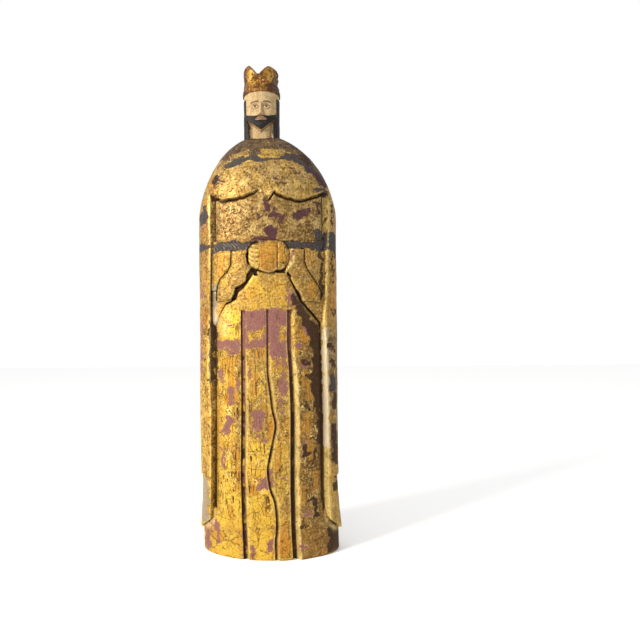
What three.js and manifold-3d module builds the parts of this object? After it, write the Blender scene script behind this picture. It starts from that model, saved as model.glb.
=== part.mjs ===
// Carved and gilded wooden figure of a crowned, bearded king, hands joined round a small box.
// It is one block of wood: a rounded trunk wrapped in a cloak that is open in front, a column of
// a head with long straight hair, and a crown with four lobes. Millimetres, +Z up, front towards -Y.
import * as THREE from "three";
import { mergeVertices } from "three/addons/utils/BufferGeometryUtils.js";
import Module from "manifold-3d";

const wasm = await Module();
wasm.setup();

// Whole figure
const HEIGHT = 497;
const AXIS_Y = 4; // the widest line of the section lies a little behind the middle
const CENTRE_X = -1.2; // brings the middle of the whole width to the origin
const CARVING_X = 2; // the carver's centre line strays this far from the middle of the block
const HEAD_X = -4.9; // and the head this far to the other side
const HEAD_Y = 4;

// Trunk: an oval section, deeper in front than behind, under round shoulders
const TRUNK_HALF_WIDTH = 71.8; // at the shoulders
const TRUNK_FOOT_HALF_WIDTH = 71;
const FRONT_DEPTH = 44;
const BACK_DEPTH = 36;
const SHOULDER_START = 335;
const SHOULDER_RISE = 93.3;
const WIDTH_ROUNDNESS = 1.85; // a superellipse's exponent, seen from the front
const DEPTH_ROUNDNESS = 1.8; // and from the side
const SHOULDER_LEAN = -4.6; // how far the top of the shoulders strays towards the head
const FOOT_LEAN = 1.6; // and the foot the other way
const FOOT_LEAN_Z = 150; // below this height
const SECTION_SIDES = 56;
const SHOULDER_STEPS = 10;
const FOOT_CHAMFER = 1.5;

// How far each carved layer lies under the cloak's surface
const CORE_INSET = 7;
const CHEST_INSET = 2.4;
const BAND_INSET = 3.8;
const SKIRT_INSET = 2.6;
const SKIRT_SIDE_INSET = 1.4;
const SLEEVE_INSET = 1.5;
const HAND_INSET = 0.5;
const BOX_INSET = 0.3;
const FLAP_INSET = 1.4;

// Cloak
const OPENING_HALF_WIDTH = 61; // at the cloak's surface
const OPENING_WALL = 7; // how far the border's slanting inner face reaches inward
const HEM_CORNER_Z = 363;
const HEM_LOW_Z = 340; // a handle of the curve, below the curve itself
const HEM_INNER_Z = 361;
const HEM_POINT_Z = 350;
const HEM_INNER_X = 7;
const BORDER_END_Z = 75; // where the border stops and the flap under it shows
const FLAP_SPREAD = 2; // how far the flap's tip stands out sideways
const FLAP_INNER_Z = 38;
const CLOAK_HEM_Z = 20;

// Sleeves, hands, box and skirt, as half widths from the carving's centre line
const CHEST_FOOT_Z = 309;
const SLEEVE_TOP_Z = 300.5;
const SLEEVE_OUTER_X = 53;
const SLEEVE_HEM = [
  [17, SLEEVE_TOP_Z],
  [20, 296],
  [18, 283],
  [22, 277],
  [22.5, 270],
  [28, 266],
  [33, 263],
  [34.5, 257],
  [38, 251.5],
  [50.5, 251],
];
const SLEEVE_LINE = [
  [35, 303],
  [35.5, 288],
  [40, 279],
  [47, 271],
  [50, 264],
  [51, 252],
];
const BOX_HALF_WIDTH = 14.5;
const BOX_TOP_Z = 309;
const BOX_BOTTOM_Z = 280;
const HAND_OUTER_X = 19.5;
const HAND_BOTTOM_Z = 283;
const HAND_TOP_Z = 302;
const FINGERS = 4;
const SKIRT_OUTLINE = [
  [10, 279.5],
  [15, 270],
  [23.5, 262],
  [29.5, 250],
  [39, 244],
  [46.5, 236],
  [52, 227],
  [52, 34],
  [56, 0],
];

// Skirt folds: where each groove runs, how far its two slopes reach and how deep it is
const FOLD_TOP_Z = 241;
const FOLDS = [
  { x: -25, left: 3.4, right: 6.5, depth: 4.8, sway: 0.3 },
  { x: 1.2, left: 2.6, right: 3.4, depth: 3.8, sway: 4.2 },
  { x: 21.3, left: 4.6, right: 6.6, depth: 5.6, sway: 0.4 },
  { x: -53, left: 4, right: 8, depth: 5, sway: 0 },
  { x: 50, left: 12, right: 5, depth: 5, sway: 0 },
];
const SWAY_CREST_Z = 128; // height of a bend to the figure's left
const SWAY_LENGTH = 89;
const SWAY_CALM_Z = 185; // above this the folds run straight
const FOLD_STEP = 12;
const BACK_FOLDS = [-42, -16, 12, 39];
const BACK_FOLD_TOP_Z = 285;

// Head: a round column of hair with the face, beard and neck carved into its front
const HEAD_RADIUS = 19.2;
const HEAD_SIDES = 44;
const HEAD_FRONT_SHARE = 0.55; // columns stand this much closer together at the nose
const HEAD_FOOT_Z = 404;
const CHEEK_Z = 450; // rows of the head bend with the beard's edge below this height
const CROWN_FOOT_Z = 468.5;
const FACE_HALF_ANGLE = 58; // degrees from the middle of the face to the hair
const NECK_HALF_ANGLE = 44;
const NECK_RADIUS = 15.4;
const CHIN_Z = 432;
const MOUTH_Z = 440;
const NOSE_FOOT_Z = 444;
const EYE_Z = 453;
const BROW_Z = 456.5;
const NOSE_REACH = 3.2;
const NOSE_HALF_WIDTH = 3;
const BEARD_TIP_Z = 428.5;

// Crown: a band, a waist and four flared lobes with a notch between each two
const CROWN_PROFILE = [
  [CROWN_FOOT_Z, 19.4],
  [470, 19.8],
  [475, 19],
  [481, 18.4],
  [488, 18.8],
  [493, 19.2],
  [495.6, 18.4],
  [HEIGHT, 16.8],
];
const CROWN_SIDES = 32;
const CROWN_TURN = 13.5; // degrees that the crown is turned to the figure's right
const NOTCHES = 4;
const NOTCH_OUTER_Z = 484;
const NOTCH_INNER_Z = 490.5;
const NOTCH_SLOPE = 0.8; // half the notch's width for each millimetre of its depth
const CROWN_SLANT = 0.002; // the lobes stand this much taller for each millimetre to the right hand
const HOLLOW_DEPTH = 3.2; // hollow under each notch
const HOLLOW_Z = 480;
const HOLLOW_REACH = 8;

const lerp = THREE.MathUtils.lerp;
const FAR = 90; // a reach that clears the block on any side
const CUT_CLEARANCE = 6; // how far a cutter stands in front of the surface it cuts

// A soft step from 0 to 1 as a value rises from low to high
function ramp(value, low, high) {
  return THREE.MathUtils.smoothstep(value, low, high);
}

// A soft bump, 1 in the middle and 0 beyond its reach
function bump(distance, reach) {
  return ramp(-Math.abs(distance), -reach, 0);
}

// A closed geometry as a solid, with shared corners merged and collapsed faces dropped.
function solidOf(geometry) {
  const bare = new THREE.BufferGeometry();
  bare.setAttribute("position", geometry.getAttribute("position"));
  bare.setIndex(geometry.index);
  const merged = mergeVertices(bare, 1e-4);
  const corners = merged.index.array;
  const kept = [];
  for (let i = 0; i < corners.length; i += 3) {
    const [a, b, c] = corners.slice(i, i + 3);
    if (a !== b && b !== c && c !== a) kept.push(a, b, c);
  }
  return new wasm.Manifold(
    new wasm.Mesh({
      numProp: 3,
      vertProperties: merged.getAttribute("position").array,
      triVerts: new Uint32Array(kept),
    }),
  );
}

// Moves every vertex of a geometry by a function of its place.
function reshape(geometry, move) {
  const position = geometry.getAttribute("position");
  const point = new THREE.Vector3();
  for (let i = 0; i < position.count; i += 1) {
    move(point.fromBufferAttribute(position, i));
    position.setXYZ(i, point.x, point.y, point.z);
  }
  return geometry;
}

// A column through the given levels, whose section at each height is an oval with its own
// half width and its own depth in front and behind.
function column(levels, sides, ovalAt) {
  const profile = levels.map((z) => new THREE.Vector2(1, z));
  profile.unshift(new THREE.Vector2(0, levels[0]));
  profile.push(new THREE.Vector2(0, levels.at(-1)));
  const geometry = new THREE.LatheGeometry(profile, sides);
  geometry.rotateX(Math.PI / 2);
  reshape(geometry, (p) => {
    const oval = ovalAt(p.z);
    p.x = oval.x + p.x * oval.half;
    p.y = oval.y + p.y * (p.y < 0 ? oval.front : oval.back);
  });
  return solidOf(geometry);
}

// A prism of an outline seen from the front, from yNear to yFar.
function frontPrism(shape, yNear = -FAR, yFar = AXIS_Y) {
  const geometry = new THREE.ExtrudeGeometry(shape, {
    depth: yFar - yNear,
    bevelEnabled: false,
    curveSegments: 8,
  });
  geometry.rotateX(Math.PI / 2).translate(0, yFar, 0);
  return solidOf(geometry);
}

function outline(points, side = 1, centre = CARVING_X) {
  return new THREE.Shape(
    points.map(([x, z]) => new THREE.Vector2(centre + side * x, z)),
  );
}

// 1 below the shoulders, falling to 0 at their top
function shoulderShare(z, roundness) {
  const rise = Math.max(0, (z - SHOULDER_START) / SHOULDER_RISE);
  return (1 - rise ** roundness) ** (1 / roundness);
}

// Trunk, inset by a carved layer's depth
function trunkOval(z, inset) {
  const up = Math.min(1, z / SHOULDER_START);
  const full = lerp(TRUNK_FOOT_HALF_WIDTH, TRUNK_HALF_WIDTH, up);
  const half = full * shoulderShare(z, WIDTH_ROUNDNESS);
  const deep = shoulderShare(z, DEPTH_ROUNDNESS);
  const rise = Math.max(0, (z - SHOULDER_START) / SHOULDER_RISE);
  const fall = Math.max(0, 1 - z / FOOT_LEAN_Z);
  return {
    x: SHOULDER_LEAN * rise ** 2.2 + FOOT_LEAN * fall ** 2,
    y: AXIS_Y,
    half: half - inset,
    front: FRONT_DEPTH * deep - inset,
    back: BACK_DEPTH * deep - inset,
  };
}

function shoulderLevels(topShare) {
  const top = SHOULDER_START + SHOULDER_RISE * topShare;
  return Array.from({ length: SHOULDER_STEPS }, (_, i) => {
    const angle = (Math.PI / 2) * ((i + 1) / SHOULDER_STEPS);
    return lerp(SHOULDER_START, top, Math.sin(angle));
  });
}

function trunk(inset) {
  const topShare = inset > 0 ? 0.9 : 0.955;
  const foot = [0, FOOT_CHAMFER];
  const levels = [...foot, SHOULDER_START, ...shoulderLevels(topShare)];
  return column(levels, SECTION_SIDES, (z) =>
    trunkOval(z, inset + (z < FOOT_CHAMFER ? FOOT_CHAMFER : 0)),
  );
}

// Front surface of a layer at a place seen from the front
function surfaceY(x, z, inset) {
  const oval = trunkOval(z, inset);
  const across = Math.min(1, Math.abs(x - oval.x) / oval.half);
  return oval.y - oval.front * Math.sqrt(1 - across * across);
}

// Cloak
function openingShape() {
  const top = OPENING_HALF_WIDTH;
  const centre = CARVING_X;
  const arcMiddle = (top + HEM_INNER_X) / 2;
  const shape = new THREE.Shape();
  shape.moveTo(-FAR, -1);
  shape.lineTo(FAR, -1);
  shape.lineTo(FAR, HEM_CORNER_Z);
  shape.lineTo(centre + top, HEM_CORNER_Z);
  shape.quadraticCurveTo(
    centre + arcMiddle,
    HEM_LOW_Z,
    centre + HEM_INNER_X,
    HEM_INNER_Z,
  );
  shape.lineTo(centre, HEM_POINT_Z);
  shape.lineTo(centre - HEM_INNER_X, HEM_INNER_Z);
  shape.quadraticCurveTo(
    centre - arcMiddle,
    HEM_LOW_Z,
    centre - top,
    HEM_CORNER_Z,
  );
  shape.lineTo(-FAR, HEM_CORNER_Z);
  return shape;
}

// The opening, seen from above: its two side walls slant inward as they go down to the core.
function openingCutter() {
  const [outer, inner] = [OPENING_HALF_WIDTH, OPENING_HALF_WIDTH - OPENING_WALL];
  const outerY = surfaceY(outer, 100, 0);
  const innerY = surfaceY(inner, 100, CORE_INSET + 0.5);
  // The wall's slope goes on past the surface, so that the cut comes out in the open
  const pastX = outer + 2 * (outer - inner);
  const pastY = outerY + 2 * (outerY - innerY);
  const plan = new THREE.Shape(
    [
      [-inner, innerY],
      [inner, innerY],
      [pastX, pastY],
      [pastX, -FAR],
      [-pastX, -FAR],
      [-pastX, pastY],
    ].map(([x, y]) => new THREE.Vector2(x + CARVING_X, y)),
  );
  const geometry = new THREE.ExtrudeGeometry(plan, {
    depth: HEM_CORNER_Z + 8,
    bevelEnabled: false,
  });
  geometry.translate(0, 0, -2);
  return solidOf(geometry).intersect(frontPrism(openingShape()));
}

// Everything under a line that slants down from the opening to the flap's tip, and level behind
function underHem() {
  const inner = OPENING_HALF_WIDTH - OPENING_WALL - 4;
  const front = outline(
    [
      [-FAR, -1],
      [FAR, -1],
      [FAR, CLOAK_HEM_Z],
      [TRUNK_HALF_WIDTH, CLOAK_HEM_Z],
      [inner, FLAP_INNER_Z],
      [-inner, FLAP_INNER_Z],
      [-TRUNK_HALF_WIDTH, CLOAK_HEM_Z],
      [-FAR, CLOAK_HEM_Z],
    ],
    1,
    0,
  );
  const behind = outline(
    [
      [-FAR, -1],
      [FAR, -1],
      [FAR, CLOAK_HEM_Z],
      [-FAR, CLOAK_HEM_Z],
    ],
    1,
    0,
  );
  return frontPrism(front).add(frontPrism(behind, 0, FAR));
}

// The lowest part of the cloak, whose sides spread towards its hem
function flapColumn() {
  const levels = [0, CLOAK_HEM_Z, CLOAK_HEM_Z + 9, CLOAK_HEM_Z + 22, BORDER_END_Z];
  return column(levels, SECTION_SIDES, (z) => {
    const oval = trunkOval(z, FLAP_INSET);
    const low = 1 - Math.max(0, z - CLOAK_HEM_Z) / (BORDER_END_Z - CLOAK_HEM_Z);
    oval.half += (FLAP_INSET + FLAP_SPREAD) * low ** 2;
    oval.back += FLAP_INSET * low;
    return oval;
  });
}

function swayAt(sway, z) {
  const wave = Math.cos((2 * Math.PI * (z - SWAY_CREST_Z)) / SWAY_LENGTH);
  return sway * (0.5 + wave) * (1 - ramp(z, SWAY_CALM_Z - 45, SWAY_CALM_Z));
}

// Wedge that cuts one upright fold into a layer; it sways along its length and shallows at the top.
function foldCutter(fold, inset, topZ) {
  const { x, left, right, depth, sway } = fold;
  const section = new THREE.Shape([
    new THREE.Vector2(-left, -CUT_CLEARANCE),
    new THREE.Vector2(right, -CUT_CLEARANCE),
    new THREE.Vector2(right, 0),
    new THREE.Vector2(0, 1),
    new THREE.Vector2(-left, 0),
  ]);
  const geometry = new THREE.ExtrudeGeometry(section, {
    depth: topZ + 1,
    steps: sway > 1 ? Math.round(topZ / FOLD_STEP) : 6,
    bevelEnabled: false,
  });
  geometry.translate(0, 0, -1);
  reshape(geometry, (p) => {
    const share = Math.max(0, p.z) / topZ;
    const middle = x + CARVING_X + swayAt(sway, p.z);
    const across = middle + p.x;
    const surface = surfaceY(across, p.z, inset);
    const down = p.y > 0 ? depth * Math.min(1, 1.6 - share) : p.y;
    p.x = across;
    p.y = surface + down;
  });
  return solidOf(geometry);
}

function backFoldCutter(x) {
  const section = new THREE.Shape([
    new THREE.Vector2(-5, 1),
    new THREE.Vector2(0, -1),
    new THREE.Vector2(5, 1),
  ]);
  const height = BACK_FOLD_TOP_Z - 1;
  const geometry = new THREE.ExtrudeGeometry(section, {
    depth: height,
    bevelEnabled: false,
  });
  reshape(geometry, (p) => {
    const oval = trunkOval(p.z, 0);
    const across = (x + p.x) / oval.half;
    const surface = AXIS_Y + oval.back * Math.sqrt(1 - across * across);
    const reach = 1 - p.z / height;
    p.y = p.y < 0 ? surface - 3.2 * reach : surface + 1.2;
    p.x += x;
  });
  return solidOf(geometry);
}

function cloak() {
  const above = trunk(0).subtract(
    column([-1, BORDER_END_Z], SECTION_SIDES, () => trunkOval(0, -9)),
  );
  const whole = BACK_FOLDS.reduce(
    (made, x) => made.subtract(backFoldCutter(x)),
    above.add(flapColumn()),
  );
  return whole.subtract(openingCutter()).subtract(underHem());
}

// The robe's oval, which shows in the opening and all round under the cloak's hem
function robeColumn() {
  const levels = [0, FOOT_CHAMFER, SHOULDER_START];
  return column(levels, SECTION_SIDES, (z) => {
    const chamfer = z < FOOT_CHAMFER ? FOOT_CHAMFER : 0;
    const oval = trunkOval(z, SKIRT_INSET + chamfer);
    oval.half += SKIRT_INSET - SKIRT_SIDE_INSET;
    return oval;
  });
}

function skirt() {
  const halves = [-1, 1].map((side) => {
    const edge = outline([[0, 281.5], ...SKIRT_OUTLINE, [0, 0]], side);
    return frontPrism(edge);
  });
  const foot = outline(
    [
      [-FAR, -1],
      [FAR, -1],
      [FAR, FLAP_INNER_Z + 4],
      [-FAR, FLAP_INNER_Z + 4],
    ],
    1,
    0,
  );
  const shown = halves[0].add(halves[1]).add(frontPrism(foot, -FAR, FAR));
  return FOLDS.reduce(
    (made, fold) =>
      made.subtract(foldCutter(fold, SKIRT_INSET, foldTop(fold.x))),
    robeColumn().intersect(shown),
  );
}

// Folds at the skirt's sides start lower, where it has its full width.
function foldTop(x) {
  return Math.abs(x) > 40 ? FOLD_TOP_Z + 10 : FOLD_TOP_Z;
}

function acrossOpening(inset, lowZ, highZ) {
  const half = OPENING_HALF_WIDTH - OPENING_WALL / 2;
  const panel = outline([
    [-half, lowZ],
    [half, lowZ],
    [half, highZ],
    [-half, highZ],
  ]);
  return trunk(inset).intersect(frontPrism(panel));
}

function chest() {
  return acrossOpening(CHEST_INSET, CHEST_FOOT_Z, HEM_CORNER_Z + 1);
}

function band() {
  return acrossOpening(BAND_INSET, SLEEVE_TOP_Z - 2, CHEST_FOOT_Z + 2);
}

// A thin cut along a line of points, as deep as the core
function lineCutter(points, side, width) {
  const there = points.map(([x, z]) => [x - width / 2, z]);
  const back = points.map(([x, z]) => [x + width / 2, z]).reverse();
  return frontPrism(outline([...there, ...back], side));
}

function sleeve(side) {
  const edge = [
    ...SLEEVE_HEM,
    [SLEEVE_OUTER_X, 251],
    [SLEEVE_OUTER_X, SLEEVE_TOP_Z],
  ];
  const upper = trunk(SLEEVE_INSET).intersect(frontPrism(outline(edge, side)));
  const lower = trunk(SLEEVE_INSET + 1.8).intersect(
    frontPrism(outline(edge, side)),
  );
  return upper.subtract(lineCutter(SLEEVE_LINE, side, 1.4)).add(lower);
}

function heldBox() {
  const half = BOX_HALF_WIDTH;
  const face = outline([
    [-half, BOX_BOTTOM_Z + 1.5],
    [-half / 3, BOX_BOTTOM_Z - 1.5],
    [half / 3, BOX_BOTTOM_Z - 1],
    [half, BOX_BOTTOM_Z + 2.5],
    [half, BOX_TOP_Z],
    [-half, BOX_TOP_Z],
  ]);
  return trunk(BOX_INSET).intersect(frontPrism(face));
}

// A hand seen from its back: its fingers are ridges parted by cuts.
function hand(side) {
  const inner = BOX_HALF_WIDTH - 5;
  const edge = [
    [inner, HAND_BOTTOM_Z],
    [HAND_OUTER_X - 2, HAND_BOTTOM_Z],
    [HAND_OUTER_X, (HAND_BOTTOM_Z + HAND_TOP_Z) / 2],
    [HAND_OUTER_X - 2, HAND_TOP_Z],
    [inner, HAND_TOP_Z + 2],
  ];
  const palm = trunk(HAND_INSET).intersect(frontPrism(outline(edge, side)));
  const pitch = (HAND_TOP_Z - HAND_BOTTOM_Z) / FINGERS;
  const cuts = Array.from({ length: FINGERS - 1 }, (_, i) => {
    const z = HAND_BOTTOM_Z + pitch * (i + 1);
    const slot = [
      [inner, z - 1.2],
      [HAND_OUTER_X - 3, z + 0.4],
      [HAND_OUTER_X - 3, z + 1.6],
      [inner, z],
    ];
    return frontPrism(outline(slot, side));
  });
  const under = trunk(HAND_INSET + 2).intersect(
    frontPrism(outline(edge, side)),
  );
  return cuts.reduce((made, cut) => made.subtract(cut), palm).add(under);
}

// Half angle of the opening in the hair at a height: narrow at the neck, wide at the face
function bareHalfAngle(z) {
  return lerp(NECK_HALF_ANGLE, FACE_HALF_ANGLE, ramp(z, CHIN_Z + 2, MOUTH_Z + 4));
}

// Lower edge of the beard: it falls from the jaw to a point under the chin
function beardFootZ(angle) {
  return lerp(BEARD_TIP_Z, MOUTH_Z + 2, Math.min(1, Math.abs(angle) / FACE_HALF_ANGLE));
}

// Distance of the head's surface from its middle; the angle is 0 at the nose, in degrees.
function headReach(angle, z) {
  const side = Math.abs(angle);
  const across = HEAD_RADIUS * Math.sin(THREE.MathUtils.degToRad(side));
  const bare = 1 - ramp(side, bareHalfAngle(z) - 3, bareHalfAngle(z) + 3);
  const beardEdge = beardFootZ(angle);
  const neck = 1 - ramp(z, beardEdge - 1.2, beardEdge + 0.4);
  const cheek = HEAD_RADIUS - 0.9 - 0.6 * bump(z - EYE_Z, 4) * bump(across - 6.4, 5);
  const chin = 1.1 * bump(z - CHIN_Z - 2, 9) * bump(across, 12);
  const noseShare = ramp(z, NOSE_FOOT_Z - 0.6, NOSE_FOOT_Z + 0.8) * bump(z - NOSE_FOOT_Z, 12);
  const nose = NOSE_REACH * noseShare * bump(across, NOSE_HALF_WIDTH);
  const lip = 0.8 * bump(z - NOSE_FOOT_Z + 2.2, 2) * bump(across, 9);
  const brow = 0.5 * bump(z - BROW_Z, 3) * bump(across, 14);
  const face = cheek + chin + nose + lip + brow;
  return lerp(HEAD_RADIUS, lerp(face, NECK_RADIUS, neck), bare);
}

function evenSteps(low, high, count) {
  return Array.from({ length: count }, (_, i) => lerp(low, high, i / count));
}

// Height of a row at an angle: rows near the beard's edge run along it.
function rowZ(z, angle) {
  const edge = beardFootZ(angle);
  if (z < BEARD_TIP_Z) {
    return lerp(HEAD_FOOT_Z, edge, (z - HEAD_FOOT_Z) / (BEARD_TIP_Z - HEAD_FOOT_Z));
  }
  if (z < CHEEK_Z) {
    return lerp(edge, CHEEK_Z, (z - BEARD_TIP_Z) / (CHEEK_Z - BEARD_TIP_Z));
  }
  return z;
}

function head() {
  const top = CROWN_FOOT_Z + 2;
  const rows = [
    ...evenSteps(HEAD_FOOT_Z, BEARD_TIP_Z - 1.2, 6),
    BEARD_TIP_Z - 1.2,
    ...evenSteps(BEARD_TIP_Z + 0.5, CHEEK_Z, 11),
    ...evenSteps(CHEEK_Z, top, 10),
    top,
  ];
  const profile = rows.map((z) => new THREE.Vector2(1, z));
  profile.unshift(new THREE.Vector2(0, HEAD_FOOT_Z));
  profile.push(new THREE.Vector2(0, top));
  const geometry = new THREE.LatheGeometry(profile, HEAD_SIDES);
  geometry.rotateX(Math.PI / 2);
  reshape(geometry, (p) => {
    const even = Math.atan2(p.x, -p.y);
    const share = Math.abs(even) / Math.PI;
    const turn = even * lerp(HEAD_FRONT_SHARE, 1, share);
    const angle = THREE.MathUtils.radToDeg(turn);
    const isCap = Math.hypot(p.x, p.y) < 0.5;
    const z = isCap ? p.z : rowZ(p.z, angle);
    const reach = isCap ? 0 : headReach(angle, z);
    p.x = HEAD_X + Math.sin(turn) * reach;
    p.y = HEAD_Y - Math.cos(turn) * reach;
    p.z = z;
  });
  return solidOf(geometry);
}

// Crown
function notchCutter() {
  const top = HEIGHT + 4;
  const section = new THREE.Shape([
    new THREE.Vector2(0, 0),
    new THREE.Vector2(1, 1),
    new THREE.Vector2(-1, 1),
  ]);
  const reach = 26;
  const geometry = new THREE.ExtrudeGeometry(section, {
    depth: reach,
    bevelEnabled: false,
  });
  geometry.rotateX(Math.PI / 2);
  reshape(geometry, (p) => {
    const outward = -p.y / HEAD_RADIUS;
    const floor = lerp(NOTCH_INNER_Z, NOTCH_OUTER_Z, outward);
    const rise = top - floor;
    p.x *= rise * NOTCH_SLOPE;
    p.z = floor + p.z * rise;
  });
  return solidOf(geometry);
}

function crown() {
  const profile = CROWN_PROFILE.map(([z, radius]) => new THREE.Vector2(radius, z));
  profile.unshift(new THREE.Vector2(0, CROWN_FOOT_Z));
  profile.push(new THREE.Vector2(0, HEIGHT));
  const geometry = new THREE.LatheGeometry(profile, CROWN_SIDES);
  geometry.rotateX(Math.PI / 2);
  reshape(geometry, (p) => {
    const angle = Math.atan2(p.x, -p.y);
    const underNotch = (1 + Math.cos(NOTCHES * angle)) / 2;
    const hollow = HOLLOW_DEPTH * underNotch * bump(p.z - HOLLOW_Z, HOLLOW_REACH);
    const share = 1 - hollow / HEAD_RADIUS;
    p.x *= share;
    p.y *= share;
  });
  const notched = Array.from({ length: NOTCHES }, (_, i) => i).reduce(
    (made, i) =>
      made.subtract(notchCutter().rotate([0, 0, (360 / NOTCHES) * i])),
    solidOf(geometry),
  );
  const slanted = notched.rotate([0, 0, -CROWN_TURN]).warp((p) => {
    p[2] += (CROWN_FOOT_Z - p[2]) * CROWN_SLANT * p[0];
  });
  return slanted.translate([HEAD_X, HEAD_Y, 0]);
}

// A solid as a three.js geometry
function geometryOf(solid) {
  const mesh = solid.getMesh();
  const geometry = new THREE.BufferGeometry();
  geometry.setAttribute(
    "position",
    new THREE.BufferAttribute(mesh.vertProperties, mesh.numProp),
  );
  geometry.setIndex(new THREE.BufferAttribute(mesh.triVerts, 1));
  geometry.computeVertexNormals();
  return geometry;
}

const giltWood = new THREE.MeshStandardMaterial({
  name: "gilt_wood",
  color: 0xb98d3a,
  roughness: 0.5,
  metalness: 0.35,
});

const figure = [
  trunk(CORE_INSET),
  cloak(),
  chest(),
  band(),
  sleeve(-1),
  sleeve(1),
  skirt(),
  heldBox(),
  hand(-1),
  hand(1),
  head(),
  crown(),
]
  .reduce((made, piece) => made.add(piece))
  .translate([CENTRE_X, 0, 0]);

const statue = new THREE.Mesh(geometryOf(figure), giltWood);
statue.name = "king_statue";
const part = new THREE.Group();
part.add(statue);

export default part;
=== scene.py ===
import math

import bmesh
import bpy
import numpy as np
from mathutils import Euler, Matrix


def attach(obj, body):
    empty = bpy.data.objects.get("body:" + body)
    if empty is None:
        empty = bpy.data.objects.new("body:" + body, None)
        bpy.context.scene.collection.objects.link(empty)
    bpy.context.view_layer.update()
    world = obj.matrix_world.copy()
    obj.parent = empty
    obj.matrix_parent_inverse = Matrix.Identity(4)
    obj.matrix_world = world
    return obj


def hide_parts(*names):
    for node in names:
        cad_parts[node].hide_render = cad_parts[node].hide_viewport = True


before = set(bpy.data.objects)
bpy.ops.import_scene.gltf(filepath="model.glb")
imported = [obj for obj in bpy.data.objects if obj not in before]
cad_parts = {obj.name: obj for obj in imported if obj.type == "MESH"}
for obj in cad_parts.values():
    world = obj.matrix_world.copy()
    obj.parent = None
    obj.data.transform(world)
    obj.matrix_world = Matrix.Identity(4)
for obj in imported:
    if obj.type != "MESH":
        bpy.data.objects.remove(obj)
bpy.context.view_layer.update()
metre = 0.001  # one millimetre
never = -9.0  # a mark as low as this shows nowhere
print("frame loaded")


# Helpers for shapes

def mix(a, b, share):
    return a + (b - a) * share


def ramp(value, low, high):
    share = np.clip((value - low) / (high - low), 0.0, 1.0)
    return share * share * (3.0 - 2.0 * share)


def fall(value, low, high):
    return 1.0 - ramp(value, low, high)


def within(value, rises, falls):
    # 1 between two places, which are pairs: where the change begins and where it ends
    return ramp(value, *rises) * fall(value, *falls)


def bump(distance, reach):
    return ramp(-np.abs(distance), -reach, 0.0)


def stepped(place, counts, levels):
    # Even steps between levels, as many as the counts say; a level may vary over the piece
    made = levels[0] + 0.0 * place
    start = 0
    for count, low, high in zip(counts, levels, levels[1:]):
        made = made + (high - low) * np.clip((place - start) / count, 0.0, 1.0)
        start += count
    return made


def flowing(points, reach, samples=800):
    # A smooth line through a few points
    first = [point[0] for point in points]
    fine = np.linspace(first[0], first[-1], samples)
    width = 2 * int(0.5 * reach / abs(fine[1] - fine[0])) + 1
    rough = np.pad(np.interp(fine, first, [point[1] for point in points]), width // 2, mode="edge")
    smooth = np.convolve(rough, np.ones(width) / width, mode="valid")
    return lambda value: np.interp(value, fine, smooth)


def awayFrom(points, x, z):
    # Distance to a line of points
    nearest = np.full(np.broadcast(x, z).shape, np.inf)
    for (ax, az), (bx, bz) in zip(points, points[1:]):
        ux, uz = bx - ax, bz - az
        along = np.clip(((x - ax) * ux + (z - az) * uz) / (ux * ux + uz * uz), 0.0, 1.0)
        nearest = np.minimum(nearest, (x - ax - along * ux) ** 2 + (z - az - along * uz) ** 2)
    return np.sqrt(nearest)


def insideOf(points, x, z):
    # How far inside an outline a place lies; less than nothing outside it
    inside = np.zeros(np.broadcast(x, z).shape, bool)
    for (ax, az), (bx, bz) in zip(points, points[1:] + points[:1]):
        if az != bz:
            crossing = (az > z) != (bz > z)
            inside ^= crossing & (x < ax + (z - az) * (bx - ax) / (bz - az))
    away = awayFrom(points + points[:1], x, z)
    return np.where(inside, away, -away)


def handWork(x, y, z, seed, size, amount):
    # The unevenness that a knife leaves, as a sum of soft waves
    chance = np.random.default_rng(seed)
    total = 0.0 * x
    for finer in (1.0, 2.0, 4.0):
        for _ in range(5):
            way = chance.normal(size=3)
            way *= 2.0 * math.pi * finer / (size * np.linalg.norm(way))
            total = total + np.sin(x * way[0] + y * way[1] + z * way[2] + chance.uniform(0.0, 6.28)) / finer
    return total * amount / 4.0


patchEdge = {"seedX": 31, "seedZ": 37, "size": 11.0, "amount": 2.2}


def patchesAt(patches, x, z):
    # How far inside the nearest patch a place lies: middle x, z, half width, half height, perhaps a turn
    best = np.full(np.broadcast(x, z).shape, never)
    size, amount = patchEdge["size"], patchEdge["amount"]
    pushX = handWork(x, 0.0, z, patchEdge["seedX"], size, amount)
    pushZ = handWork(x, 0.0, z, patchEdge["seedZ"], size, amount)
    x, z = x + pushX, z + pushZ
    for midX, midZ, wide, high, *turn in patches:
        turn = math.radians(sum(turn))
        cosine, sine = math.cos(turn), math.sin(turn)
        across = np.abs((x - midX) * cosine + (z - midZ) * sine) - wide
        along = np.abs((z - midZ) * cosine - (x - midX) * sine) - high
        outside = np.hypot(np.maximum(across, 0.0), np.maximum(along, 0.0))
        best = np.maximum(best, -outside - np.minimum(np.maximum(across, along), 0.0))
    return best


def soften(values, reach):
    # A running mean over a grid of places
    rows = np.pad(values, ((reach, reach), (0, 0)), mode="edge")
    rows = sum(rows[i:i + values.shape[0]] for i in range(2 * reach + 1))
    whole = np.pad(rows, ((0, 0), (reach, reach)), mode="edge")
    return sum(whole[:, i:i + values.shape[1]] for i in range(2 * reach + 1)) / (2 * reach + 1) ** 2


def hollows(values, reach, full):
    # From -1 on a ridge to 1 in a hollow
    return np.clip((values - soften(values, reach)) / full, -1.0, 1.0)


def endShare(row, rowCounts):
    # 0 where a piece closes below and above, and 1 between
    lowEnd = np.clip(row / rowCounts[0], 0.0, 1.0)
    highEnd = np.clip((sum(rowCounts) - row) / rowCounts[-1], 0.0, 1.0)
    return np.minimum(lowEnd, highEnd)


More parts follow.
